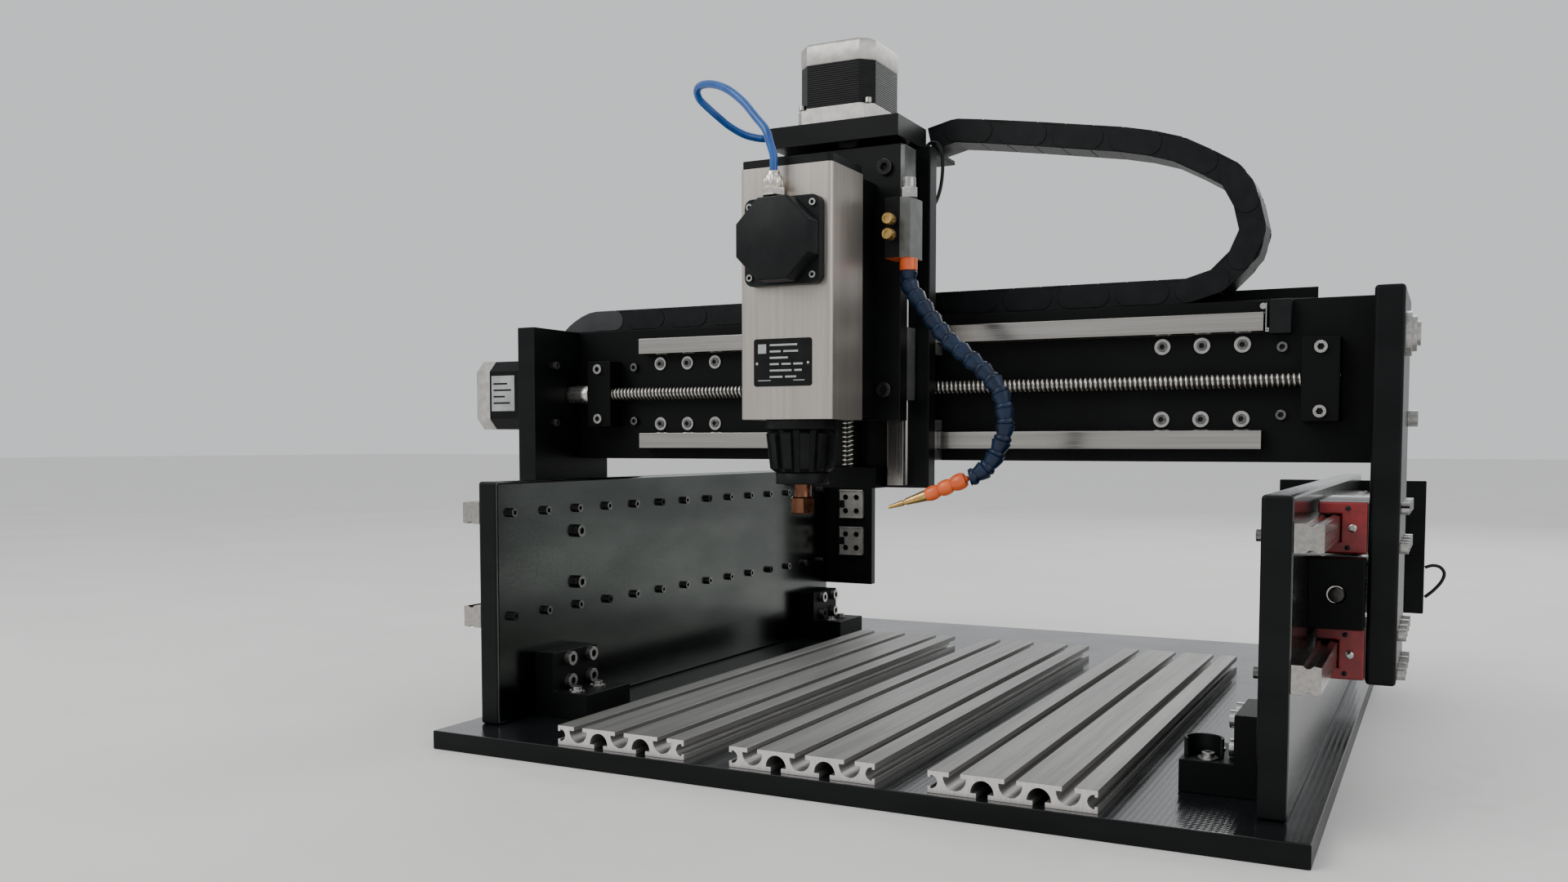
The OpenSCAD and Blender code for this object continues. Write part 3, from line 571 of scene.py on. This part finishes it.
def motor(name, place, body, node, plug_turn, stack=0.044, more=()):
    """A motor on its flange, +Z away from the mounting face. plug_turn turns its socket round,
    stack is the length of its sheets, and more holds extra shells."""
    shells = [*more, prism_shell(cut_square(MOTOR_W, 0.007), 0.0, FLANGE - 0.002, place),
              prism_shell(cut_square(0.0845, 0.012), FLANGE - 0.002, FLANGE, place)]
    sheets = round(stack / SHEET)
    sheet = stack / sheets
    edges = ((0.0, 0.996), (0.0003, 1.0), (sheet - 0.0003, 1.0), (sheet, 0.996))
    rings = [(FLANGE + stack * k / sheets + dz, scale)
             for k in range(sheets) for dz, scale in edges]
    shells.append(tapered_shell(cut_square(0.085, 0.013), rings, place, 1))
    top = FLANGE + stack + CAP
    rings = [(FLANGE + stack, 0.99), (FLANGE + stack + 0.001, 1.0), (top - 0.004, 1.0),
             (top - 0.0015, 0.985), (top, 0.95)]
    shells.append(tapered_shell(cut_square(0.0858, 0.013), rings, place))
    flange_head = [(0, 0), (0, 0.0034), (0.0045, 0.0034), (0.0055, 0.0028), (0.0055, 0)]
    cap_head = [(0, 0), (0, 0.003), (0.0028, 0.003), (0.0034, 0.0024), (0.0034, 0)]
    for k in range(4):
        turn = place @ Matrix.Rotation(math.radians(45 + 90 * k), 4, "Z")
        for head, reach, z in ((flange_head, 0.0535, FLANGE - 0.0005),
                               (cap_head, 0.0475, top - 0.0035)):
            shells.append(turned_shell(head, turn @ Matrix.Translation((reach, 0, z)), 16, 2))
    boss = [(top - 0.001, 0), (top - 0.001, 0.018), (top - 0.0002, 0.0175), (top - 0.0002, 0)]
    shells.append(turned_shell(boss, place))
    side = (place @ Matrix.Rotation(plug_turn, 4, "Z")
            @ Matrix.Translation((0, -MOTOR_W / 2, FLANGE + 0.022)))
    for half_w, deep, half_h in ((0.012, 0.006, 0.018), (0.0145, 0.0022, 0.0185)):
        box = [(-half_w, -deep), (half_w, -deep), (half_w, 0.001), (-half_w, 0.001)]
        shells.append(prism_shell(box, -half_h, half_h, side, 3))
    put(name, join(name, shells), [cast_aluminium, stack_black, zinc, plain_black, print_pale],
        body, node, bevel=0.0006)


centre = axis_of["z_screw_spin"]
motor("z_motor_shown", on_top(centre.x, centre.y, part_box("z_motor")[0].z), "cross_carriage",
      ("z_motor",), math.radians(-90))
low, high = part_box("x_motor")
centre = axis_of["x_screw_spin"]
x_stack = high.x - low.x - FLANGE - CAP
place = standing((low.x + CAP + 0.021, centre.y - 0.0425, centre.z + 0.002), (0, -1, 0))
label = [bar(0, 0, 0.036, 0.044, -0.0005, 0.0003, place, 4)]
for row, length in enumerate((0.022, 0.028, 0.018, 0.026)):
    label.append(bar(-0.015 + length / 2, 0.012 - row * 0.008, length, 0.0022, 0.0002, 0.0004,
                     place, 3))
motor("x_motor_shown", standing((high.x, centre.y, centre.z), (-1, 0, 0)), "gantry",
      ("x_motor",), math.radians(-90), x_stack, label)
centre = axis_of["y_screw_right_spin"]
for name, side, node in (("y_motor_left", -1, ("y_motors",)), ("y_motor_right", 1, ())):
    motor(name, standing((side * centre.x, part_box("y_motors")[0].y, centre.z), (0, 1, 0)), "base",
          node, math.radians(180))

# ---- Spindle ----
# A square housing of brushed aluminium in a pale champagne tone with a black top cover, a
# finned black nose with a lock ring, and a bronze-toned collet nut.

brushed = finish("brushed_housing", (0.43, 0.395, 0.36), (0.49, 0.452, 0.415), (0.3, 0.4),
                 metal=0.8, scale=220.0, stretch=(1, 1, 0.02), fine=1400.0, bump=0.06,
                 Anisotropic=0.4)
housing_low, housing_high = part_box("spindle_housing")
dress("spindle_housing", [brushed, plain_black], bevel=0.0009,
      pick=lambda centre, normal, socket: 1 if centre.z > housing_high.z - 0.0079 else 0)

axis = axis_of["spindle_spin"]
place = on_top(axis.x, axis.y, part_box("spindle_nose")[0].z)


def nose_fins(height, turn):
    """Twelve square-topped fins that stand out of the tapered part and die away at its ends."""
    wave = np.clip(np.cos(12 * turn) * 6 + 1.5, 0, 1)
    inside = np.clip((height - 0.0125) / 0.002, 0, 1) * np.clip((0.0535 - height) / 0.002, 0, 1)
    return 0.0042 * wave * inside


nose = [(0.0, 0.0125), (0.0, 0.0262), (0.0008, 0.027), (0.0105, 0.027), (0.0115, 0.0262),
        (0.012, 0.0285)]
nose += [(0.012 + 0.0415 * k / 12, 0.028 + 0.0048 * k / 12) for k in range(13)]
nose += [(0.054, 0.0362), (0.0548, 0.037), (0.0632, 0.037), (0.064, 0.0362), (0.064, 0.0125)]
put("spindle_nose_shown", join("nose", [turned_shell(nose, place, 192, 0, nose_fins)]),
    [plain_black], "head", ("spindle_nose",), angle=40)

bronze = finish("bronze_oxide", (0.09, 0.036, 0.020), (0.20, 0.090, 0.050), (0.16, 0.3), metal=0.95,
                scale=90.0, stretch=(1, 1, 0.3), fine=900.0, bump=0.04)


def hexagon(radius):
    """Six-sided outline with a corner on +X."""
    turns = [math.radians(60 * k) for k in range(6)]
    return [(radius * math.cos(turn), radius * math.sin(turn)) for turn in turns]


place = on_top(axis.x, axis.y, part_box("collet_nut")[0].z)
rings = [(0.0, 0.9), (0.0012, 1.0), (0.0155, 1.0), (0.017, 0.88)]
shells = [tapered_shell(hexagon(0.0128), rings, place),
          turned_shell([(0.016, 0.006), (0.016, 0.0092), (0.0175, 0.0086), (0.027, 0.009),
                        (0.030, 0.009), (0.030, 0.006)], place, 40),
          # A thin near-black disc on the axis marks the empty bore: painted shade in the hole.
          turned_shell([(-0.0001, 0.0), (-0.0001, 0.0031), (0.0004, 0.0031), (0.0004, 0)], place,
                       24, 1)]
put("collet_nut_shown", join("collet", shells), [bronze, plain_black], "spindle_rotor",
    ("collet_nut",), angle=28)
dress("spindle_shaft", [zinc], bevel=0.0003)

# ---- Terminal box, gland and nameplate ----
# A moulded black box with a raised eight-sided lid, a nickel cable gland with a ribbed nut
# on top, and a small black plate with two rivets and rows of plain pale bars.

moulded_black = finish("moulded_black", (0.004, 0.005, 0.0055), (0.008, 0.0095, 0.0102),
                       (0.38, 0.52), scale=50.0, fine=1400.0, bump=0.22, Specular_IOR_Level=0.18)
low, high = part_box("terminal_box")
middle = Vector(((low.x + high.x) / 2, high.y, (low.z + high.z) / 2))
place = standing(middle, (0, -1, 0))
depth = high.y - low.y
rings = [(0.0115, 0.97), (0.0125, 1.0), (depth - 0.0025, 0.985), (depth - 0.0006, 0.965),
         (depth, 0.93)]
foot = np.array(cut_square(0.081, 0.008, 5)) * (1.0, 0.084 / 0.081)
shells = [prism_shell(foot, 0.0, 0.0118, place),
          tapered_shell(cut_square(0.0798, 0.024), rings, place)]
put("terminal_box_shown", join("terminal_box", shells), [moulded_black], "head", ("terminal_box",),
    bevel=0.0011, segments=3, angle=24)

nickel = finish("nickel", (0.58, 0.55, 0.49), (0.74, 0.71, 0.64), (0.12, 0.24), metal=1.0,
                scale=200.0, fine=1200.0, bump=0.03)
low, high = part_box("cable_gland")
place = on_top((low.x + high.x) / 2, (low.y + high.y) / 2, low.z)
tall = high.z - low.z


def crown_ribs(height, turn):
    """Sixteen shallow notches round the lower part of the crown."""
    return 0.0006 * np.clip(np.sin(16 * turn) * 3, -1, 0) * (height < 0.0175)


rings = [(0.0, 0.95), (0.0008, 1.0), (0.0076, 1.0), (0.0084, 0.92)]
crown = [(0.008, 0.0), (0.008, 0.0096), (0.009, 0.0102), (0.0165, 0.0102), (0.019, 0.0088),
         (0.0195, 0.0072), (tall - 0.001, 0.0066), (tall, 0.0058), (tall, 0.0)]
shells = [tapered_shell(hexagon(0.0119), rings, place),
          turned_shell(crown, place, 96, 0, crown_ribs)]
put("cable_gland_shown", join("gland", shells), [nickel], "head", ("cable_gland",), angle=35)

place = standing((housing_low.x + 0.0475, housing_low.y, housing_low.z + 0.0555), (0, -1, 0))
PLATE_W, PLATE_H, ROW_PITCH = 0.0635, 0.0465, 0.0062
outline = np.array(cut_square(PLATE_W, 0.003, 3)) * (1.0, PLATE_H / PLATE_W)
shells = [prism_shell(outline, 0.0, 0.0007, place)]
bars = []
rows = ((0.030,), (0.012, 0.016), (0.020,), (0.010, 0.010, 0.010), (0.024, 0.008), (0.014, 0.012))
for row, lengths in enumerate(rows):
    x = -0.014
    for length in lengths:
        bars.append((x + length / 2, 0.017 - row * ROW_PITCH, length, 0.0018))
        x += length + 0.003
bars += [(-0.0225, 0.0135, 0.009, 0.009), (0.018, -0.0175, 0.012, 0.0008),
         (-0.02, -0.0175, 0.014, 0.0008)]
shells += [bar(x, y, w, h, 0.0006, 0.0008, place, 1) for x, y, w, h in bars]
for x in (-0.028, 0.028):
    rivet = [(0.0005, 0), (0.0005, 0.0016), (0.0012, 0.0013), (0.0015, 0.0006), (0.0015, 0)]
    shells.append(turned_shell(rivet, place @ Matrix.Translation((x, -0.001, 0)), 20, 2))
put("nameplate", join("nameplate", shells), [plain_black, print_pale, zinc], "head", (), angle=30)

# ---- Hoses and cables ----
# A smooth blue air tube loops from the gland to the top plate. Thin black cables run to the
# X motor, to the Z limit switch and out of the right rear plate.


def smooth_route(points, steps=8):
    """Catmull-Rom curve through given points."""
    p = np.array(points, float)
    padded = np.vstack([p[:1], p, p[-1:]])
    t = np.linspace(0, 1, steps, endpoint=False)[:, None]
    runs = []
    for k in range(len(p) - 1):
        a, b, c, d = padded[k:k + 4]
        runs.append(0.5 * (2 * b + t * (c - a) + t**2 * (2 * a - 5 * b + 4 * c - d)
                           + t**3 * (3 * b - a - 3 * c + d)))
    return np.vstack([*runs, p[-1:]])


def tube_shell(route, radius, around=16, material=0):
    """A round tube along a route; radius is one number or one per route point. Each ring is square
    to the route, and its first spoke is square to the Y axis as well."""
    ahead = np.gradient(route, axis=0)
    ahead /= np.linalg.norm(ahead, axis=1)[:, None]
    side = np.cross(ahead, (0.0, 1.0, 0.0))
    side /= np.linalg.norm(side, axis=1)[:, None]
    other = np.cross(side, ahead)
    angle = np.linspace(0, 2 * np.pi, around, endpoint=False)[None, :, None]
    radius = np.broadcast_to(np.asarray(radius, float), (len(route),))[:, None, None]
    ring = side[:, None] * np.cos(angle) + other[:, None] * np.sin(angle)
    return grid_shell(route[:, None] + radius * ring, material)


MM = 0.001
blue_tube = finish("blue_tube", (0.006, 0.065, 0.27), (0.010, 0.095, 0.36), (0.18, 0.28),
                   scale=60.0, fine=500.0, bump=0.02, Coat_Weight=0.15)
x_plate_low, x_plate_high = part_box("x_plate")
head_x = (x_plate_low.x + x_plate_high.x) / 2
top_z = x_plate_high.z
air_route = [(-5, -53, -11.3), (-5, -53, 3), (-9, -53, 16), (-14, -52, 29), (-29, -46, 45),
             (-46, -38, 62), (-67, -30, 78), (-88, -22, 88), (-107, -14, 92), (-118, -6, 90),
             (-121, 3, 84), (-118, 12, 78), (-112, 24, 70), (-106, 40, 62), (-98, 56, 56),
             (-90, 68, 54), (-84, 76, 54), (-79, 78, 54), (-73.8, 78, 54)]
air_start = np.array((head_x, axis.y, top_z - 0.04))
route = smooth_route(np.array(air_route) * MM + air_start)
tube = put("air_hose_shown", join("air_hose", [tube_shell(route, 0.004)]), [blue_tube], None,
           ("air_hose",), angle=60)
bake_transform(tube)

cable_black = finish("cable_black", (0.005, 0.005, 0.0055), (0.010, 0.010, 0.0105), (0.4, 0.55),
                     scale=80.0, fine=700.0, bump=0.05, Specular_IOR_Level=0.3)


def cable(node, body, radius, start, points):
    """A thin black cable through points in millimetres from start."""
    route = smooth_route(np.array(points) * MM + start, 6)
    put(node + "_shown", join(node, [tube_shell(route, radius, 10)]), [cable_black], body, (node,),
        angle=60)


cable("z_switch_cable", "cross_carriage", 0.002, (head_x, x_plate_high.y, top_z),
      [(57, 40, 7.3), (58, 40, 12), (64, 40, 17), (73, 38, 14), (79, 34, 2), (82, 28, -16),
       (82, 22, -36), (80, 14, -52), (76, 7, -61), (73, 2.2, -65)])
low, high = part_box("rear_plates")
cable("rear_cable", "base", 0.0022, (high.x, (low.y + high.y) / 2, low.z),
      [(0.7, 0, 62), (10, 0, 65), (19, 0, 63), (24, 0, 55), (21, 0, 44), (12, 0, 32), (1.4, 0, 22)])
centre = axis_of["x_screw_spin"]
cable("x_motor_cable", "gantry", 0.0025,
      (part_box("x_motor")[1].x, centre.y - 0.006, centre.z - 0.009),
      [(-12, 0, -43.4), (-12, 0, -54), (-16, 0, -62), (-26, 0, -66), (-40, 0, -62), (-48, 0, -54),
       (-50, 0, -43), (-50, 0, -33.8)])
white_plastic = finish("white_plastic", (0.66, 0.66, 0.63), (0.74, 0.74, 0.71), (0.3, 0.4),
                       scale=90.0, fine=700.0, bump=0.04)
dress("x_motor_plug", [white_plastic], bevel=0.0008)

# ---- Drag chain ----
# A black moulded cable chain: links 30 mm apart with overlapping side plates, every second
# pair set inwards, and closed covers above and below. It bends between beam and carriage.

chain_plastic = finish("chain_plastic", (0.0028, 0.0034, 0.0040), (0.006, 0.0072, 0.0082),
                       (0.36, 0.5), scale=60.0, fine=900.0, bump=0.12, Specular_IOR_Level=0.16)
chain_end_grey = finish("chain_end_grey", (0.011, 0.013, 0.015), (0.018, 0.021, 0.024),
                        (0.34, 0.46), scale=60.0, fine=900.0, bump=0.12)
chain_low, chain_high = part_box("cable_chain")
CHAIN_T, CHAIN_W, LINK_PITCH, END_RAMP = 0.0255, 0.045, 0.030, 0.047
SIDE_PLATE, COVER, SET_IN = 0.0026, 0.0025, 0.0009
chain_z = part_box("beam")[1].z + 0.002 + 0.013
chain_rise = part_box("x_plate")[1].z + 0.0235 - chain_z
chain_loop = [(-100, 0), (150, 0), (344, 0), (367, 0.05), (396, 0.21), (400, 0.33), (389, 0.55),
              (376, 0.64), (320, 0.81), (278, 0.87), (170, 0.97), (117, 1.015), (84, 1.04), (58, 1)]
chain_line = np.vstack([[(chain_low.x + END_RAMP, chain_z)],
                        np.array(chain_loop) * (MM, chain_rise) + (head_x, chain_z)])


def even_points(points, pitch):
    """Points a pitch apart along a polyline."""
    p = np.array(points, float)
    run = np.concatenate([[0], np.cumsum(np.linalg.norm(np.diff(p, axis=0), axis=1))])
    at = np.linspace(0, run[-1], int(run[-1] // pitch) + 1)
    return np.column_stack([np.interp(at, run, p[:, k]) for k in range(p.shape[1])])


def chain_core(half, front, back):
    """Strip along the chain's line: half to each side of it, from front to back in Y."""
    fine = even_points(chain_line, 0.006)
    ahead = np.gradient(fine, axis=0)
    ahead /= np.linalg.norm(ahead, axis=1)[:, None]
    off = half * np.column_stack([-ahead[:, 1], ahead[:, 0]])
    edges = []
    for sign, y in ((1, front), (1, back), (-1, back), (-1, front)):
        edge = fine + sign * off
        edges.append(np.column_stack([edge[:, 0], np.full(len(edge), y), edge[:, 1]]))
    return grid_shell(np.stack(edges, axis=1))


pins = even_points(chain_line, LINK_PITCH)
chain_back = chain_high.y
shells = [chain_core(CHAIN_T / 2 - 0.001, chain_back - CHAIN_W + 0.0031, chain_back - 0.0031)]
for k in range(len(pins) - 1):
    a, b = pins[k], pins[k + 1]
    reach = np.linalg.norm(b - a)
    ahead = (b - a) / reach
    place = Matrix(((ahead[0], -ahead[1], 0, a[0]), (0, 0, -1, chain_back),
                    (ahead[1], ahead[0], 0, a[1]), (0, 0, 0, 1)))
    radius = CHAIN_T / 2 - 0.0004
    half_turn = np.linspace(0, math.pi, 8)
    ends = [(-math.sin(t) * radius, math.cos(t) * radius) for t in half_turn]
    ends += [(reach + math.sin(t) * radius, -math.cos(t) * radius) for t in half_turn]
    if k == 0:
        ends = [(max(x, 0.0), y) for x, y in ends]
    if k == len(pins) - 2:
        ends = [(min(x, reach), y) for x, y in ends]
    inset = SET_IN if k % 2 else 0.0
    for side in (inset, CHAIN_W - inset - SIDE_PLATE):
        shells.append(prism_shell(ends, side, side + SIDE_PLATE, place, 1 if k == 0 else 0))
    for sign in (-1, 1):
        shells.append(bar(reach / 2, sign * (CHAIN_T - COVER) / 2, reach - 0.0008, COVER, 0.0005,
                          CHAIN_W - 0.0005, place, 0))
ramp = [(-END_RAMP, -0.0127), (0, -0.0127), (0, 0.0127), (-0.010, 0.0112), (-0.021, 0.0073),
        (-0.032, 0.0018), (-0.041, -0.004), (-END_RAMP, -0.0092)]
place = Matrix(((1, 0, 0, pins[0][0]), (0, 0, -1, chain_back), (0, 1, 0, pins[0][1]), (0, 0, 0, 1)))
shells.append(prism_shell(ramp, 0.001, CHAIN_W - 0.001, place, 1))
chain = put("drag_chain", join("drag_chain", shells), [chain_plastic, chain_end_grey], None,
            ("cable_chain",), bevel=0.0005, segments=1)
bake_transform(chain)

# ---- Mist unit ----
# A black bracket with a grey valve block and a silver push fitting on top, two brass needle
# knobs in front, and an orange outlet that holds the blue segmented hose.

block_grey = finish("block_grey", (0.10, 0.105, 0.10), (0.15, 0.156, 0.148), (0.3, 0.42), metal=0.7,
                    scale=60.0, fine=800.0, bump=0.05)
orange = finish("orange_plastic", (0.62, 0.085, 0.012), (0.78, 0.13, 0.02), (0.3, 0.42), scale=80.0,
                fine=600.0, bump=0.05, Coat_Weight=0.2)
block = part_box("mist_block")[0]


def mist_part(centre, normal, socket):
    """0 grey block, 1 silver fitting, 2 orange outlet, 3 black front and left side, by place."""
    x, y, z = centre - block
    if z < 0.0121:
        return 2
    if y < 0.034 and z > 0.0721 and x > 0.011:
        return 1
    return 3 if y < 0.0005 or x < 0.0051 else 0


dress("mist_block", [block_grey, zinc, orange, plain_black], bevel=0.0006, pick=mist_part)

brass = finish("brass", (0.42, 0.26, 0.085), (0.62, 0.41, 0.15), (0.2, 0.34), metal=1.0,
               scale=180.0, fine=1000.0, bump=0.05)


def knurl(height, turn):
    """Twenty-four fine flutes along the grip."""
    return 0.0002 * np.sin(24 * turn) * (height > 0.0078) * (height < 0.0170)


for node in ("knob_upper", "knob_lower"):
    low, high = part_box(node)
    centre = axis_of[node + "_turn"]
    place = standing((centre.x, high.y, centre.z), (0, -1, 0))
    tall = high.y - low.y
    profile = [(0, 0), (0, 0.003), (0.0072, 0.003), (0.0072, 0.0053), (0.008, 0.006),
               (tall - 0.002, 0.006), (tall - 0.0006, 0.0052), (tall - 0.0006, 0.0026),
               (tall - 0.0018, 0.0026), (tall - 0.0018, 0)]
    shells = [turned_shell(profile, place, 96, 0, knurl)]
    put(node + "_shown", join(node, shells), [brass], node, (node,), angle=35)

hose_blue = finish("hose_blue", (0.002, 0.009, 0.028), (0.0045, 0.018, 0.052), (0.28, 0.4),
                   scale=70.0, fine=700.0, bump=0.06, Specular_IOR_Level=0.35)
hose_points = [(90, 58, -0.5), (90, 58, -6), (90, 58, -12), (97, 55, -23), (108, 51, -36),
               (122, 47, -54), (138, 44, -72), (158, 40, -88), (181, 37, -108), (194, 34, -124),
               (200, 31, -144), (201, 27, -164), (194, 24, -184), (187, 20, -196),
               (176, 17.5, -204), (171, 16.5, -206)]
hose_start = np.array((head_x, axis.y, block.z))
route = smooth_route(np.array(hose_points) * MM + hose_start, 6)
run = np.concatenate([[0], np.cumsum(np.linalg.norm(np.diff(route, axis=0), axis=1))])
SEGMENTS, STEPS = 17, 12
at = np.linspace(0, run[-1], SEGMENTS * STEPS + 1)
route = np.column_stack([np.interp(at, run, route[:, k]) for k in range(3)])
phase = (np.arange(len(route)) % STEPS) / STEPS
ball = np.sin(np.pi * np.maximum(phase - 0.55, 0) / 0.45) ** 0.7
segment = np.where(phase < 0.55, 0.0096 - 0.0026 * phase / 0.55, 0.0056 + 0.0032 * ball)
segment[0] = segment[-1] = 0.0085
put("coolant_hose_shown", join("coolant_hose", [tube_shell(route, segment, 20)]), [hose_blue],
    "coolant_hose", ("coolant_hose",), angle=38)

KNUCKLE, KNUCKLE_AT = 0.0032, 0.004

nozzle_start, nozzle_end = np.array((171, 16.5, -206)) * MM, np.array((129, 10, -224)) * MM
tip_mid, tip_end = np.array((108, 6, -231)) * MM, np.array((92, 3, -236)) * MM
way = (nozzle_end - nozzle_start) / np.linalg.norm(nozzle_end - nozzle_start)
span = np.linspace(0, 1, 61)
begin = nozzle_start + 0.0047 * way
line = hose_start + begin + span[:, None] * (nozzle_end + 0.001 * way - begin)
bulge = 0.0062 + 0.0022 * np.abs(np.sin(3 * np.pi * span)) ** 0.6 - 0.0014 * span
shells = [tube_shell(line, bulge, 24)]
reach = np.linspace(0.0008, 0.0072, 9)
neck = hose_start + nozzle_start + reach[:, None] * way
radius = np.sqrt(np.maximum(KNUCKLE**2 - (reach - KNUCKLE_AT)**2, 1e-8))
shells.append(tube_shell(neck, radius, 16))
cone = nozzle_end - 0.002 * way + span[:30, None] * (tip_mid - nozzle_end) * 2.0
needle = tip_mid + span[1::2, None] * (tip_end - tip_mid)
brass_line = hose_start + np.vstack([cone, needle])
radius = np.concatenate([np.linspace(0.0058, 0.0034, 30), np.linspace(0.003, 0.0016, len(needle))])
radius[28:32] = (0.0035, 0.0035, 0.0022, 0.0022)
shells.append(tube_shell(brass_line, radius, 20, 1))
put("hose_nozzle_shown", join("nozzle", shells), [orange, brass], "hose_nozzle",
    ("hose_nozzle",), angle=32)

# ---- Small fittings: power sockets, cable ring, limit switch, carriage screws ----
# Bright four-pole sockets sit in the left rear plate, an open black ring lies round a foot
# screw, and a roller switch ends the X travel. The red caps have screws and nipples.

SOCKET_W, SOCKET_H = 0.041, 0.046
low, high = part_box("power_sockets")
shells = []
for base_z in (low.z, high.z - SOCKET_H):
    place = standing(((low.x + high.x) / 2, high.y, base_z + SOCKET_H / 2), (0, -1, 0))
    shells.append(bar(0, 0, SOCKET_W, SOCKET_H, 0.0, 0.0062, place, 0))
    for turn in (0, math.pi):
        turned = place @ Matrix.Rotation(turn, 4, "Z")
        shells.append(bar(0, -0.02175, SOCKET_W, 0.0025, 0.0, 0.0078, turned, 0))
    for x in (-0.0095, 0.0095):
        for y in (-0.011, 0.011):
            pole = [(0.006, 0.0044), (0.0072, 0.0044), (0.0072, 0.0032), (0.0062, 0.003),
                    (0.0062, 0)]
            at = place @ Matrix.Translation((x, y, 0))
            shells.append(turned_shell(pole, at, 24, 1))
    shells.append(bar(-0.0155, 0, 0.008, 0.012, 0.006, 0.0078, place, 1))
put("power_sockets_shown", join("power_sockets", shells), [cast_aluminium, plain_black], "base",
    ("power_sockets",), bevel=0.0004, segments=1)
dress("cable_ring", [moulded_black], bevel=0.0008)
dress("x_limit_switch", [moulded_black], bevel=0.0008)
dress("limit_lever", [zinc], bevel=0.0001, segments=1)

CAP_HALF = 0.023
cap_low, cap_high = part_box("y_carriage_caps")
head = [(0, 0), (0, 0.0022), (0.0012, 0.0022), (0.0016, 0.0016), (0.0016, 0)]
nipple = [(0, 0), (0, 0.0035), (0.003, 0.0035), (0.004, 0.002), (0.007, 0.002), (0.0085, 0.0028),
          (0.010, 0.0016), (0.010, 0)]
shells = []
for side in (-1, 1):
    for z in (cap_low.z + CAP_HALF, cap_high.z - CAP_HALF):
        for face, way in ((cap_low.y, -1), (cap_high.y, 1)):
            for dz in (-0.0175, 0.0175):
                at = standing((side * (cap_high.x - 0.016), face, z + dz), (0, way, 0))
                shells.append(turned_shell(head, at, 16, 1))
            at = standing((side * (cap_high.x - 0.012), face, z), (0, way, 0))
            shells.append(turned_shell(nipple, at, 16))
# The small cap screw heads are near-black all over; the nipples are zinc.
put("carriage_screws", join("carriage_screws", shells), [zinc, socket_shade_and_black_heads], "gantry", (), angle=35)

core_copper = finish("core_copper", (0.30, 0.14, 0.07), (0.42, 0.2, 0.1), (0.3, 0.45), metal=0.8,
                     bump=0.05)
dress("spindle_core", [core_copper], bevel=0.0)
